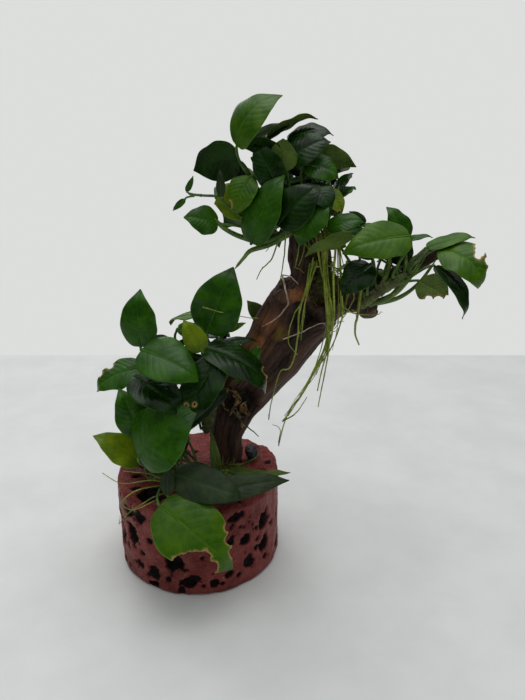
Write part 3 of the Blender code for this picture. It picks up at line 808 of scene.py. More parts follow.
def bladeMesh(line, forward, face, width, habit, random):
    nAcross = habit.get("acrossSteps", leafShape["acrossSteps"])
    nAlong = len(line) - 1
    length = np.linalg.norm(line[-1] - line[0])
    s = np.linspace(0, 1, nAlong + 1)[:, None]
    u = np.linspace(-1, 1, nAcross + 1)[None]
    tangents = np.gradient(line, axis=0)
    tangents /= np.linalg.norm(tangents, axis=1)[:, None]
    normal = face - tangents * (tangents @ face)[:, None]
    normal /= np.linalg.norm(normal, axis=1)[:, None]
    side = np.cross(tangents, normal)
    half = np.maximum(width / 2 * bladeOutline(s), 0.25)
    waver = habit.get("wave", 0.035) * width
    p1, p2 = random.uniform(0, 6.28, 2)
    edge = np.abs(u) ** 2.2
    ripple = np.where(u > 0, np.sin(s * 9.5 + p1), np.sin(s * 8.3 + p2)) + 0.4 * np.sin(s * 21 + p1 * 2)
    fold = math.radians(habit.get("fold", 14))
    rise = np.abs(u) * half * math.sin(fold) * 0.55 - leafShape["sag"] * half * u * u * 1.6
    rise = rise + waver * edge * ripple * np.sin(math.pi * np.clip(s, 0, 1)) ** 0.5
    rise = rise - habit.get("tipCurl", 0.09) * length * smoothStep(0.72, 1.0, s) ** 2
    out = np.abs(u)
    phase = (s - leafShape["veinSweep"] * out ** 1.4) * leafShape["veinCount"] + np.where(u > 0, 0.5, 0)
    away = np.abs(phase % 1 - 0.5)
    fade = smoothStep(0.0, 0.12, out) * (1 - smoothStep(0.8, 1.0, out))
    fade = fade * np.sin(math.pi * np.clip(s, 0.02, 0.98)) ** 0.6
    vein = -leafShape["veinDepth"] * np.exp(-(away / 0.13) ** 2) * fade
    quilt = 0.5 * leafShape["veinDepth"] * np.cos((phase % 1 - 0.5) * 2 * math.pi + math.pi) * fade
    groove = -0.35 * np.exp(-(u * half / 0.9) ** 2) * (1 - 0.6 * s)
    rise = rise + vein + quilt + groove
    # the rounded lobes at the foot of the blade
    back = 0.05 * length * out ** 2 * np.exp(-(s / 0.10) ** 2) * (half / (width / 2))
    across = u * half * math.cos(fold) * (1 + 0.02 * np.sin(s * 17 + p2) * edge)
    centre = line[:, None] - tangents[:, None] * back[:, :, None]
    base = centre + side[:, None] * across[:, :, None] + normal[:, None] * rise[:, :, None]
    thick = habit.get("thickness", leafShape["thickness"])
    thick = thick * (0.55 + 0.45 * (1 - out ** 3)) + np.zeros_like(rise)
    top = (base + normal[:, None] * (thick / 2)[:, :, None]).reshape(-1, 3)
    under = (base - normal[:, None] * (thick / 2)[:, :, None]).reshape(-1, 3)
    kept, dry = biteMask(habit.get("bites", ()), u * half, s * length + np.zeros_like(u), half, length)
    columns, faces, marks, edges = nAcross + 1, [], [], []
    count = len(top)
    for i in range(nAlong):
        for j in range(nAcross):
            if not kept[i, j]:
                continue
            a = i * columns + j
            faces += [(a, a + 1, a + columns + 1, a + columns),
                      (count + a, count + a + columns, count + a + columns + 1, count + a + 1)]
            marks += [0, 1]
            for di, dj, p, q in ((-1, 0, a, a + 1), (0, 1, a + 1, a + columns + 1),
                                 (1, 0, a + columns + 1, a + columns), (0, -1, a + columns, a)):
                inside = 0 <= i + di < nAlong and 0 <= j + dj < nAcross
                if not inside or not kept[i + di, j + dj]:
                    faces.append((p, count + p, count + q, q))
                    marks.append(1)
                    edges.append((p, q, inside))
    relaxTornEdge(top, under, edges)
    uv = np.stack([np.broadcast_to((u + 1) / 2, rise.shape), np.broadcast_to(s, rise.shape)], -1)
    uv = uv.reshape(-1, 2)
    verts, uvs, shade = np.concatenate([top, under]), np.concatenate([uv, uv]), np.tile(dry.ravel(), 2)
    used = np.unique(np.concatenate([np.array(face) for face in faces]))
    place = np.full(len(verts), -1)
    place[used] = np.arange(len(used))
    faces = [tuple(place[list(face)].tolist()) for face in faces]
    return verts[used], faces, marks, uvs[used], shade[used]


def biteMask(bites, x, y, half, length):        # which cells of the blade are left, and how dry the edge is
    dry = np.zeros(np.broadcast(x, y).shape)
    kept = np.ones((dry.shape[0] - 1, dry.shape[1] - 1), bool)
    if not len(bites):
        return kept, dry
    flat = np.stack([x.ravel(), y.ravel(), np.zeros(x.size)], -1)
    ragged = (0.30 * valueNoise(flat, 3.0, 51) + 0.20 * valueNoise(flat, 1.1, 52)).reshape(dry.shape)
    nearest = np.full(dry.shape, 9.0)
    for across, along, radius in bites:
        i = min(int(along * (len(half) - 1)), len(half) - 1)
        away = np.hypot(x - across * half[i, 0], y - along * length) / radius + ragged
        nearest = np.minimum(nearest, away)
        dry = np.maximum(dry, 1 - smoothStep(1.0, 1.0 + 1.5 / radius, away))
    middle = (nearest[1:, 1:] + nearest[:-1, 1:] + nearest[1:, :-1] + nearest[:-1, :-1]) / 4
    whole = middle > 1
    kept = np.zeros_like(whole)
    kept[0, kept.shape[1] // 2] = True
    for step in range(sum(kept.shape)):         # what still hangs together with the stalk
        grown = kept.copy()
        grown[1:] |= kept[:-1]
        grown[:-1] |= kept[1:]
        grown[:, 1:] |= kept[:, :-1]
        grown[:, :-1] |= kept[:, 1:]
        kept = grown & whole
    return kept, dry


def relaxTornEdge(top, under, edges):           # takes the steps out of a torn edge
    torn = {v for p, q, inside in edges if inside for v in (p, q)}
    beside = {}
    for p, q, inside in edges:
        beside.setdefault(p, []).append(q)
        beside.setdefault(q, []).append(p)
    for layer in (top, under):
        for step in range(2):
            moved = {v: layer[v] * 0.5 + 0.5 * layer[beside[v]].mean(0)
                     for v in torn if len(beside[v]) == 2}
            for v, place in moved.items():
                layer[v] = place


habits = {                      # what sets single leaves apart; bites are across, along, radius
    "torn_front": {"wave": 0.045, "fold": 6, "bites": [
        (0.95, 0.50, 5.0), (0.72, 0.57, 5.5), (0.50, 0.64, 4.5), (1.0, 0.72, 6.0), (0.6, 0.76, 3.0),
        (-1.0, 0.66, 2.2), (-0.95, 0.76, 3.2), (-1.0, 0.87, 3.0)]},
    "tall": {"wave": 0.02, "fold": 10, "tipCurl": 0.0},
    "lance": {"wave": 0.01, "fold": 20},
    "boat": {"wave": 0.02, "fold": 30},
    "grey_front": {"wave": 0.03, "fold": 8},
    "spotted": {"wave": 0.03, "bites": [(0.20, 0.66, 0.85), (-0.25, 0.60, 0.75)]},
    "right_arch": {"bites": [(-0.95, 0.78, 2.4), (-1.0, 0.88, 2.6), (-0.3, 1.0, 2.2), (-0.6, 0.93, 1.6)]},
    "torn_big": {"wave": 0.04, "bites": [
        (-1.0, 0.42, 3.6), (-0.75, 0.47, 2.6), (-0.50, 0.50, 1.8), (-1.0, 0.66, 1.8), (-1.0, 0.82, 2.0),
        (0.0, 1.02, 3.4), (-0.6, 0.95, 2.0)]},
    "torn_pale": {"bites": [(-1.0, 0.60, 2.6), (-0.8, 0.78, 2.6), (-0.2, 1.0, 2.4), (0.5, 0.97, 1.6)]},
    "left_curl": {"wave": 0.05, "bites": [(1.0, 0.55, 2.6), (1.0, 0.75, 2.0)]},
    "right_yellow": {"bites": [(0.9, 0.86, 1.4), (0.3, 1.0, 1.2)]},
    "left_bright": {"wave": 0.05, "bites": [(0.95, 0.80, 1.6)]},
}

placedLeaves = []               # search trees of everything that a new leaf has to clear


def treeOf(verts, faces):
    return BVHTree.FromPolygons([tuple(v) for v in verts], faces)


def leafPiece(name, path, line, forward, face, width, tone, seed, nodes=(), habit=None, skins=None):
    habit = habit or {}
    k = np.linspace(0, 1, len(path))
    radius = habit.get("stalkRadius", leafShape["stalkRadius"])
    base, joint = 0.55 * np.exp(-(k / 0.12) ** 2), 0.25 * np.exp(-((k - 0.94) / 0.05) ** 2)
    radii = radius * (1.0 + base - 0.15 * k + joint)
    stem = tubeMesh(path, radii, 10, face)
    rib = line[:int(len(line) * 0.8)] - face * 0.25
    bites = [along for across, along, size in habit.get("bites", ()) if abs(across) < 0.5 and size > 3]
    if bites:
        rib = rib[:int(len(line) * (min(bites) - 0.12))]
    keel = tubeMesh(rib, np.linspace(radius * 0.85, 0.12, len(rib)), 6, face)
    blade = bladeMesh(line, forward, face, width, habit, np.random.default_rng(seed))
    parts = [blade[:4], (*stem, 2), (*keel, 1)]
    verts, faces, marks, uvs = joinParts(parts)
    dry = np.concatenate([blade[4], np.zeros(len(verts) - len(blade[4]))])
    placedLeaves.append(treeOf(blade[0], blade[1]))
    return addPiece(name, verts, faces, skins or [leafTops[tone], leafUnders[tone], stalkSkin],
                    nodes, marks=marks, uvs=uvs, shades={"dry": dry})


def makeLeaf(row, number):
    plant, name, along, stalk, blade, roll, arch, tone = row
    habit = dict(habits.get(name, {}))
    steps = leafShape["alongSteps"]
    if "bites" in habit:
        steps, habit["acrossSteps"] = leafShape["fineAlong"], leafShape["fineAcross"]
    bones = leafBones(plant, along, stalk, blade, roll, arch, leafShift(row), leafShape["stalkSteps"],
                      np.linspace(0, 1, steps + 1))
    return leafPiece(name, *bones, blade[3], tone, number + 100, ["leaf_" + plant + "_" + name], habit)


for number, leafRow in enumerate(leaves):
    makeLeaf(leafRow, number)
print("leaves made")


# more leaves, each from the points of its stalk to the tip of its blade:
# name, tone, stalk, tip, width, where its face looks
moreLeaves = [
    ("upper_back", "grey", [(59, 6, 214), (48, 11, 236), (34, 11, 252)], (55, 10, 261), 9, (0, -1, 0.5)),
    ("inner_small", "deep", [(50, 3, 208), (38, 3, 218), (31, 1, 227)], (27, 0, 243), 8, (-0.2, -1, 0.2)),
    ("edge_on", "green", [(62, 2, 210), (56, 0, 222), (52, -2, 231)], (68, -3, 234), 6, (0, -0.5, 1)),
    ("grey_tip", "grey", [(103, 3, 182), (101, 3, 198), (97, 2, 209)], (88, 2, 216), 6, (0, -1, 0.4)),
    ("rolled", "lime", [(18, -11, 132), (17, -14, 146), (21, -14, 152)], (31, -14, 157), 4, (0, -1, 0.6)),
    ("fold_edge", "deep", [(12, -12, 126), (8, -16, 136), (13, -19, 144)], (38, -15, 148), 8, (0, -0.4, 1)),
    ("slip", "green", [(20, -10, 128), (34, -14, 140), (38, -15, 143)], (25, -18, 121), 9, (0.4, -1, 0.1)),
    ("low_left", "fresh", [(-4, -14, 100), (-20, -18, 100),
                           (-30, -20, 106)], (-18, -19, 117), 8, (0, -1, 0.2)),
    ("thin_bright", "lime", [(10, -16, 66), (15, -26, 60), (21, -30, 60)], (46, -27, 66), 5, (0, -0.8, 1)),
    ("strip", "pale", [(8, -14, 66), (12, -24, 62), (14, -26, 70)], (11, -26, 95), 6, (0, -1, 0)),
    ("inner_dark", "deep", [(6, -12, 110), (8, -24, 124),
                            (9, -27, 131)], (5, -29, 108), 11, (-0.4, -1, 0.2)),
    ("inner_green", "green", [(-2, -12, 132), (-8, -18, 148),
                              (-6, -22, 156)], (10, -22, 154), 9, (0, -1, 0.5)),
    ("behind_trunk", "pale", [(30, 14, 130), (40, 15, 142),
                              (43, 14, 149)], (31, 13, 162), 11, (0, -1, 0.1)),
    ("left_small", "fresh", [(-4, -12, 124), (-8, -16, 132),
                             (-12, -17, 136)], (-25, -19, 147), 10, (0, -1, 0.3)),
    ("twig_leaf_up", "green", [(8, -6, 225), (2, -6, 226), (0, -6, 227)], (4, -6, 235), 3.4, (0.3, -1, 0)),
    ("twig_leaf_down", "green", [(4, -6, 225), (0, -6, 224),
                                 (-1, -6, 223)], (-8, -6, 217), 3.6, (-0.3, -1, 0)),
    ("fork_curl", "green", [(121, -5, 184), (118, -6, 196),
                            (117, -6, 201)], (133, -6, 204), 5, (0.2, -0.5, 1)),
    ("behind_bright", "green", [(92, 2, 184), (84, 3, 196), (80, 2, 203)], (97, 3, 207), 10, (0, -1, 0.6)),
    ("yellow_back", "lime", [(66, 4, 208), (70, 4, 206), (72, 3, 203)], (88, 3, 196), 12, (0.2, -1, 0.3)),
]


def makePointLeaf(row, number):
    name, tone, stalk, tip, width, facing = row
    path = throughPoints(stalk, 14)
    neck, tip = path[-1], np.array(tip, float)
    forward = unit(tip - neck)
    face = np.array(facing, float)
    face = unit(face - forward * face.dot(forward))
    length = np.linalg.norm(tip - neck)
    s = np.linspace(0, 1, 29)[:, None]
    line = neck + (tip - neck) * s + face * length * 0.22 * s * (1 - s)
    small = {"acrossSteps": 16, "stalkRadius": min(0.8, 0.3 + length * 0.03)}
    leafPiece(name, path, line, forward, face, width, tone, number + 300, (), small)


for number, pointRow in enumerate(moreLeaves):
    makePointLeaf(pointRow, number)


# smaller leaves that fill the inside and the back of each plant, wherever there is room: how many,
# the stalk's turn, rise and reach, the blade's length, and the low and high corners of the space
fillers = {
    "top": {"count": 44, "turn": (0, 360), "rise": (0, 85), "reach": (10, 36), "length": (17, 28),
            "low": (10, -4, 192), "high": (95, 36, 262)},
    "mid": {"count": 20, "turn": (90, 290), "rise": (15, 80), "reach": (14, 46), "length": (20, 32),
            "low": (-40, -24, 96), "high": (36, 26, 164)},
    "right": {"count": 18, "turn": (0, 360), "rise": (5, 85), "reach": (8, 26), "length": (16, 26),
              "low": (78, 0, 168), "high": (152, 30, 214)},
    "foot": {"count": 12, "turn": (120, 330), "rise": (15, 80), "reach": (12, 34), "length": (16, 28),
             "low": (-52, -22, 60), "high": (14, 20, 110)},
}


fillerBlade = {                 # how far a blade may swing, rise, roll, arch, and its width by length
    "swing": 40, "rise": (-45, 40), "roll": 40, "arch": (1, 3), "slim": (0.6, 0.8),
    # mostly deep tones: painted shade for the leaves inside each plant
    "tones": ("deep", "deep", "deep", "green", "green", "fresh"),
    "tries": 70,                # for each leaf that is wanted
}
# the stand-in blade that is tried for room, and how many points it has
coarseBlade = {"acrossSteps": 6, "alongSteps": 9, "thickness": 1.5}
coarseBlade["count"] = 2 * (coarseBlade["acrossSteps"] + 1) * (coarseBlade["alongSteps"] + 1)


def coarseLeaf(path, line, forward, face, width, seed):
    blade = bladeMesh(line, forward, face, width, coarseBlade, np.random.default_rng(seed))
    stem = tubeMesh(path[4:], np.full(len(path) - 4, 0.9), 5, face)
    return joinParts([(blade[0], blade[1], 0), (*stem, 0)])


def fillPlant(plant, spec, random):
    made = 0
    swing, tones = fillerBlade["swing"], fillerBlade["tones"]
    for attempt in range(spec["count"] * fillerBlade["tries"]):
        if made == spec["count"]:
            return
        turn, rise = random.uniform(*spec["turn"]), random.uniform(*spec["rise"])
        length = random.uniform(*spec["length"])
        blade = (turn + random.uniform(-swing, swing), random.uniform(*fillerBlade["rise"]), length,
                 length * random.uniform(*fillerBlade["slim"]))
        stalk = (turn, rise, random.uniform(*spec["reach"]))
        along, roll = random.uniform(0, 1), random.uniform(-fillerBlade["roll"], fillerBlade["roll"])
        arch = random.uniform(*fillerBlade["arch"])
        tone = tones[int(random.integers(len(tones)))]
        seed = int(random.integers(1, 100000))
        coarse = leafBones(plant, along, stalk, blade, roll, arch, np.zeros(3), 12,
                           np.linspace(0, 1, coarseBlade["alongSteps"] + 1))
        verts, faces = coarseLeaf(*coarse, blade[3], seed)[:2]
        bladeVerts = verts[:coarseBlade["count"]]
        if (bladeVerts < np.array(spec["low"])).any() or (bladeVerts > np.array(spec["high"])).any():
            continue
        tree = treeOf(verts, faces)
        if any(tree.overlap(other) for other in placedLeaves):
            continue
        made += 1
        bones = leafBones(plant, along, stalk, blade, roll, arch, np.zeros(3), 16, np.linspace(0, 1, 30))
        leafPiece(plant + "_inner_" + str(made), *bones, blade[3], tone, seed, (), {"acrossSteps": 18})


woodTree, stoneTree = (treeOf([v.co / mm for v in piece.data.vertices],
                              [tuple(f.vertices) for f in piece.data.polygons])
                       for piece in (driftwood, stoneBase))
placedLeaves += [woodTree, stoneTree]
fillerRandom = np.random.default_rng(17)
for plantName, spec in fillers.items():
    fillPlant(plantName, spec, fillerRandom)
print("smaller leaves made")


# roots

rootRoutes = {
    "root_long": [(73, -8, 211), (74, -14, 200), (73, -19, 188), (75, -19, 166), (76, -16, 148),
                  (71, -14, 130), (64, -12, 114), (57, -10, 102), (53, -10, 92), (50, -11, 78)],
    "root_forked": [(79, -9, 209), (79, -16, 198), (78, -20, 184), (79, -21, 164), (78, -19, 148),
                    (74, -17, 130), (72, -15, 116)],
}


# free roots: skin, radius, points; a root that would sink into the wood is lifted onto it
rootStrands = [
    ("root", 0.70, [(69, -8, 206), (72, -16, 186), (78, -20, 166), (76, -18, 147), (68, -16, 126),
                    (58, -13, 104), (52, -12, 95)]),
    ("root", 0.62, [(76, -9, 204), (74, -18, 178), (76, -20, 160), (77, -19, 142), (74, -15, 116),
                    (73, -13, 105)]),
    ("root", 0.55, [(82, -10, 196), (83, -18, 178), (84, -18, 162), (79, -18, 144), (71, -17, 130),
                    (62, -14, 112)]),
    ("root", 0.60, [(70, -12, 190), (61, -16, 166), (60, -16, 148), (56, -15, 131), (50, -14, 127),
                    (46, -13, 111), (44, -12, 96)]),
    ("root", 0.50, [(66, -12, 190), (63, -16, 172), (57, -16, 160), (55, -15, 146), (60, -15, 138)]),
    ("root", 0.95, [(95, -10, 178), (93, -14, 162), (92, -13, 152), (95, -12, 143)]),
    ("root", 0.45, [(82, -16, 168), (92, -15, 162), (105, -12, 161)]),
    ("root", 0.45, [(77, -14, 190), (86, -16, 182), (90, -17, 172), (86, -17, 163), (80, -17, 154)]),
    ("root", 0.45, [(68, -14, 188), (76, -16, 189), (84, -17, 183), (92, -15, 178)]),
    ("root", 0.50, [(50, -6, 206), (46, -6, 192), (40, -5, 185), (37, -4, 179)]),
    ("root", 0.50, [(53, -6, 206), (52, -6, 192), (50, -6, 178)]),
    ("dark", 0.42, [(50, -6, 211), (45, -6, 203), (39, -6, 197)]),
    ("dark", 0.35, [(52, -6, 211), (46, -6, 200), (42, -6, 195)]),
    ("root", 0.55, [(60, -6, 206), (60, -9, 198), (58, -10, 187)]),
    ("root", 0.45, [(63, -6, 206), (63, -9, 196), (60, -10, 188)]),
    ("pale", 0.60, [(51, -10, 183), (53, -11, 175), (54, -11, 166), (48, -10, 158), (40, -9, 153)]),
    ("pale", 0.38, [(51, -10, 183), (56, -11, 182), (60, -12, 178)]),
    ("pale", 0.40, [(52, -11, 146), (62, -13, 151), (72, -14, 156), (86, -12, 157)]),
    ("pale", 0.30, [(74, -16, 157), (80, -16, 152), (84, -15, 157)]),
    ("black", 1.30, [(98, -6, 184), (100, -10, 172), (98, -9, 160)]),
    ("root", 0.45, [(24, -22, 66), (0, -34, 64), (-22, -40, 72), (-38, -42, 71), (-49, -42, 78)]),
    ("root", 0.40, [(20, -22, 66), (-6, -34, 66), (-24, -38, 75), (-38, -40, 78)]),
    ("root", 0.40, [(-14, -34, 66), (-30, -46, 69), (-38, -48, 62), (-31, -51, 60), (-18, -50, 66)]),
    ("root", 0.40, [(-4, -30, 62), (-20, -44, 64), (-34, -50, 57), (-40, -50, 50)]),
    ("dark", 0.60, [(22, -14, 104), (30, -16, 95), (38, -14, 86)]),
    ("root", 0.35, [(8, -22, 168), (24, -17, 162), (38, -13, 159)]),
    ("root", 0.50, [(52, -12, 95), (58, -13, 99), (62, -14, 104), (66, -15, 112)]),
    ("root", 0.35, [(50, -11, 80), (51, -12, 90), (46, -12, 93)]),
]
rootBundles = [                 # strands that follow a route side by side: count, radius, spread, points
    (8, 0.48, 2.6, [(72, -9, 206), (74, -18, 182), (76, -20, 160), (76, -18, 145), (69, -16, 126),
                    (61, -14, 110), (54, -12, 98)]),
    (4, 0.42, 2.4, [(68, -12, 192), (62, -16, 168), (60, -16, 148), (58, -15, 134)]),
    (4, 0.40, 2.8, [(80, -10, 200), (82, -17, 178), (82, -17, 158), (78, -17, 142)]),
    (6, 0.40, 5.0, [(62, -2, 214), (66, -8, 204), (68, -13, 196)]),
    (5, 0.34, 3.0, [(86, -10, 190), (88, -15, 176), (84, -16, 162)]),
]
rootSkins = {"root": rootSkin, "dark": darkRootSkin, "pale": paleRootSkin, "black": blackSkin}


def liftOff(path, gap):         # keeps a path outside the wood
    lifted = []
    for p in path:
        place, normal, index, away = woodTree.find_nearest(Vector(p))
        if (Vector(p) - place).dot(normal) < gap:
            p = np.array(place + normal * gap)
        lifted.append(np.array(p, float))
    lifted = np.array(lifted)
    for step in range(2):
        lifted[1:-1] = lifted[1:-1] * 0.5 + (lifted[:-2] + lifted[2:]) * 0.25
    return lifted


def rootTube(points, radius, random, end=0.45, wander=0.5, lift=True):
    steps = 12 * (len(points) - 1)
    path = throughPoints(points, steps)
    k = np.linspace(0, 1, steps + 1)
    seat = np.stack([k * 60, k * 0 + random.uniform(0, 50), k * 0], -1)
    sway = np.stack([valueNoise(seat, 5, n) for n in range(3)], -1)
    path = path + sway * wander * np.sin(math.pi * k)[:, None]
    if lift:
        path = liftOff(path, radius * 0.8)
    radii = radius * (1 - (1 - end) * k) * (1 + 0.08 * np.sin(k * 90))
    return tubeMesh(path, radii, 7)


def makeRoots():
    random = np.random.default_rng(3)
    for node, points in rootRoutes.items():
        parts = [(*rootTube(points, 0.75, random, wander=0.3, lift=False), 0)]
        addStrands(node + "_strand", parts, rootSkin, [node])
    for number, (skin, radius, points) in enumerate(rootStrands):
        parts = [(*rootTube(points, radius, random), 0)]
        for branch in range(int(random.integers(0, 3)) if skin == "root" else 0):
            start = np.array(points[int(random.integers(1, len(points)))], float)
            way = unit(random.normal(size=3) * (1, 0.5, 1)) * random.uniform(3, 8)
            twig = [start, start + way * 0.5 + (0, 0, 0.6), start + way]
            parts.append((*rootTube(twig, radius * 0.5, random), 0))
        addStrands("root_" + str(number + 1), parts, rootSkins[skin])
    for number, (count, radius, apart, points) in enumerate(rootBundles):
        for strand in range(count):
            keep = max(3, len(points) - int(random.integers(0, 3)))
            off = random.normal(size=3) * (apart * 0.5, apart * 0.2, 0)
            way = [np.array(p) + off + random.normal(size=3) * (apart * 0.28, 0.5, 0.8)
                   for p in points[:keep]]
            verts, faces = rootTube(way, radius * random.uniform(0.7, 1.2), random, 0.35, 0.9)
            name = "root_bundle_" + str(number + 1) + "_" + str(strand + 1)
            addPiece(name, verts, faces, [rootSkin])


makeRoots()
print("roots made")


# shoots: growing tips of the creeping stems and the pale bundle of stalks at the branch
shoots = [                      # name, skin, radius at the start and end, points
    ("twig", stalkSkin, 0.9, 0.6, [(44, -3, 206), (34, -5, 218), (20, -6, 224), (9, -6, 225),
                                   (1, -6, 225.5)]),
    ("lower_shoot", petioleSkin, 1.9, 0.7, [(56, -3, 205), (44, -6, 199), (34, -8, 196),
                                            (30, -9, 192), (25, -9, 186)]),
    ("left_creeper", stalkSkin, 1.9, 1.0, [(56, -5, 208), (42, -7, 201), (30, -8, 203), (20, -9, 208),
                                           (14, -9, 214)]),
    ("petiole_1", petioleSkin, 1.9, 0.8, [(98, -6, 166), (110, -8, 169), (118, -8, 180), (119, -7, 196)]),
    ("petiole_2", petioleSkin, 1.8, 0.8, [(100, -7, 165), (114, -8, 172), (124, -7, 184), (132, -6, 198)]),
    ("petiole_3", petioleSkin, 1.6, 0.8, [(99, -5, 168), (106, -8, 176), (110, -8, 188), (108, -7, 198)]),
    ("petiole_4", petioleSkin, 1.5, 0.7, [(101, -6, 165), (116, -7, 169), (127, -6, 177), (136, -5, 190)]),
    ("petiole_5", stalkSkin, 1.3, 0.7, [(97, -6, 168), (102, -8, 180), (101, -7, 192)]),
    ("foot_shoot_1", petioleSkin, 1.2, 0.5, [(14, -12, 66), (10, -20, 74), (12, -22, 88)]),
    ("foot_shoot_2", petioleSkin, 0.9, 0.4, [(20, -10, 64), (30, -18, 70), (40, -20, 78)]),
]


def makeShoots():
    for name, skin, start, end, points in shoots:
        path = throughPoints(points, 10 * (len(points) - 1))
        k = np.linspace(0, 1, len(path))
        radii = (start + (end - start) * k) * (1 - 0.75 * smoothStep(0.9, 1.0, k))
        verts, faces = tubeMesh(path, radii, 12)
        addPiece(name, verts, faces, [skin])


makeShoots()


# papery old sheaths and the fine growth on wood and stone
growth = {
    "woodMoss": {"low": (66, 166), "high": (90, 192), "count": 420, "length": (1.5, 4.5)},
    "footRootlets": {"low": (2, -32), "high": (30, -8), "count": 520, "length": (6.0, 19.0)},
    "sheaths": {"count": 11, "low": (20, 86), "high": (30, 112), "length": (8, 15), "width": (3, 6)},
    "thickness": 0.2,
}


def tuftStrand(root, normal, length, random):
    out = unit(np.array(normal) + random.normal(size=3) * 0.5)
    bend = unit(out + random.normal(size=3) * 0.9)
    path = throughPoints([root, root + out * length * 0.5, root + (out + bend) * length * 0.5], 5)
    return (*tubeMesh(path, np.linspace(growth["thickness"] * 1.4, growth["thickness"] * 0.5, 6), 4), 0)


def anyPlace(spec, random):
    return [random.uniform(low, high) for low, high in zip(spec["low"], spec["high"])]


def makeGrowth():
    random = np.random.default_rng(29)
    spec, parts = growth["woodMoss"], []
    for strand in range(spec["count"]):
        x, z = anyPlace(spec, random)
        place, normal, index, away = woodTree.ray_cast(Vector((x, -60, z)), Vector((0, 1, 0)), 100)
        if place is not None:
            parts.append(tuftStrand(np.array(place), normal, random.uniform(*spec["length"]), random))
    addStrands("wood_moss", parts, mossSkin)
    spec, parts = growth["footRootlets"], []
    for strand in range(spec["count"]):
        x, y = anyPlace(spec, random)
        place, normal, index, away = stoneTree.ray_cast(Vector((x, y, 90)), Vector((0, 0, -1)), 80)
        if place is not None:
            tall = random.uniform(*spec["length"]) * (0.5 + 0.5 * math.exp(-((x - 16) / 10) ** 2))
            parts.append(tuftStrand(np.array(place), (0.1, -0.3, 1), tall, random))
    addStrands("foot_rootlets", parts, rootletSkin)
    spec = growth["sheaths"]
    for k in range(spec["count"]):
        x, z = anyPlace(spec, random)
        place, normal, index, away = woodTree.ray_cast(Vector((x, -60, z)), Vector((0, 1, 0)), 100)
        if place is None:
            continue
        neck = np.array(place + normal * 0.6)
        forward = unit(np.array(normal) * 0.7 + random.normal(size=3) * (0.7, 0.2, 1.0))
        face = unit(np.cross(forward, unit(random.normal(size=3))))
        length, s = random.uniform(*spec["length"]), np.linspace(0, 1, 25)[:, None]
        line = neck + forward * length * s + face * length * 0.9 * s * (1 - s)
        habit = {"acrossSteps": 10, "wave": 0.30, "fold": 50, "thickness": 0.3}
        blade = bladeMesh(line, forward, face, random.uniform(*spec["width"]), habit, random)
        addPiece("sheath_" + str(k + 1), blade[0], blade[1], [drySkin], uvs=blade[3])


makeGrowth()
print("roots, shoots and fine growth made")


# putty and moss

def makePutty():
    low, high = (np.array(c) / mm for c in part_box("putty_lump"))
    bm = bmesh.new()
    bmesh.ops.create_icosphere(bm, subdivisions=4, radius=1.0)
    points = np.array([v.co for v in bm.verts])
    faces = [tuple(v.index for v in f.verts) for f in bm.faces]
    bm.free()
    lumpy = 0.92 + 0.16 * layeredNoise(points, 0.8, 5)
    verts = (low + high) / 2 + points * (high - low) / 2 * lumpy[:, None]
    addPiece("putty", verts, faces, [puttySkin], ["putty_lump"])


moss = {"strands": 420, "length": (1.5, 3.6), "thickness": 0.22}


def makeMoss():
    low, high = (np.array(c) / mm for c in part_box("moss_tuft"))
    random = np.random.default_rng(11)
    middle, size = (low + high) / 2, (high - low) / 2
    parts = []
    for k in range(moss["strands"]):
        out = unit(random.normal(size=3) * np.array([1, 1, 1.1]))
        root = middle + out * size * random.uniform(0.2, 0.85)
        bendTo = unit(out + random.normal(size=3) * 0.7)
        length = random.uniform(*moss["length"])
        path = throughPoints([root, root + out * length * 0.5, root + (out + bendTo) * length * 0.5], 5)
        parts.append((*tubeMesh(path, np.linspace(moss["thickness"], 0.06, 6), 4), 0))
    addStrands("moss", parts, mossSkin, ["moss_tuft"])


makePutty()
makeMoss()
print("putty and moss made")


# floor, light and camera

studio = {
    "camera": (0.0403, -0.3438, 0.2594), "pitch": 70.2, "lens": 31.9,
    "floor": (-2.0, -2.0, 2.0, 0.358),      # left, front, right and back edges
    "topLight": 5.0, "backLight": 2.4,
    "backdrop": (0.72, 0.73, 0.72),
    "zenith": 0.85, "horizon": 0.025,        # how bright the room is above and around
}


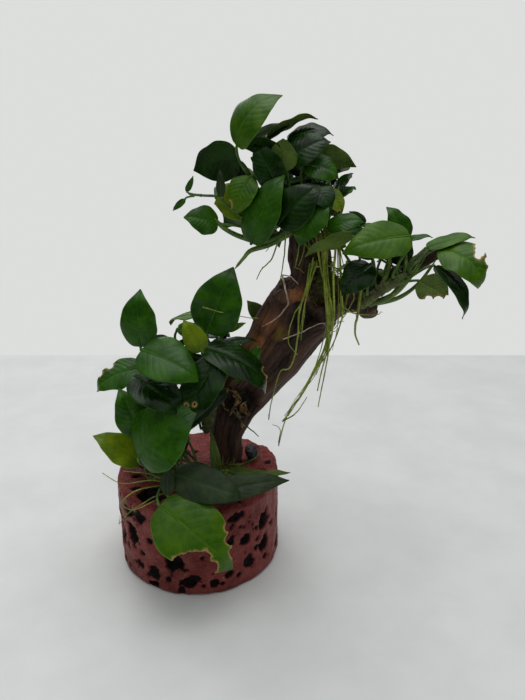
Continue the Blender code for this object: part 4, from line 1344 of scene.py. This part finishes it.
def makeStudio():
    left, front, right, back = studio["floor"]
    mesh = bpy.data.meshes.new("floor")
    corners = [(left, front, 0), (right, front, 0), (right, back, 0), (left, back, 0)]
    mesh.from_pydata(corners, [], [(0, 1, 2, 3)])
    floor = bpy.data.objects.new("floor", mesh)
    bpy.context.scene.collection.objects.link(floor)
    material, tree, shader = newMaterial("pale_floor", {"Roughness": 0.55})
    patches = patchesOf(tree, objectPlace(tree), 60.0)
    attach(tree, shader, Base_Color=blendColour(tree, patches, (0.70, 0.71, 0.70), (0.76, 0.77, 0.76)))
    mesh.materials.append(material)

    for name, place, size, power, aim in (
            ("topLight", (0.1, 0.1, 1.3), 0.9, studio["topLight"], (0.03, 0, 0.1)),
            ("backLight", (-0.5, 0.9, 0.8), 0.6, studio["backLight"], (0.03, 0, 0.15))):
        light = bpy.data.lights.new(name, "AREA")
        light.energy, light.size = power, size
        lamp = bpy.data.objects.new(name, light)
        lamp.location = place
        lamp.rotation_euler = (lamp.location - Vector(aim)).to_track_quat("Z", "Y").to_euler()
        bpy.context.scene.collection.objects.link(lamp)

    world = bpy.data.worlds.new("room")
    world.use_nodes = True
    tree = world.node_tree
    around = put(tree, "ShaderNodeTexCoord").outputs["Generated"]
    height = put(tree, "ShaderNodeSeparateXYZ", {0: around}).outputs[2]
    bright = spread(tree, height, 0.15, 1.0, studio["horizon"], studio["zenith"])
    seen = put(tree, "ShaderNodeLightPath").outputs["Is Camera Ray"]
    warm = calc(tree, "MULTIPLY", bright, 0.97)
    light = put(tree, "ShaderNodeCombineColor", {0: warm, 1: bright, 2: bright}).outputs[0]
    shader = tree.nodes["Background"]
    tree.links.new(blendColour(tree, seen, light, studio["backdrop"]), shader.inputs["Color"])
    bpy.context.scene.world = world

    lens = bpy.data.cameras.new("camera")
    lens.lens, lens.sensor_width, lens.clip_start = studio["lens"], 36, 0.01
    camera = bpy.data.objects.new("camera", lens)
    camera.location = studio["camera"]
    camera.rotation_euler = (math.radians(studio["pitch"]), 0, 0)
    bpy.context.scene.collection.objects.link(camera)
    bpy.context.scene.camera = camera
    bpy.context.scene.view_settings.view_transform = "Standard"


makeStudio()
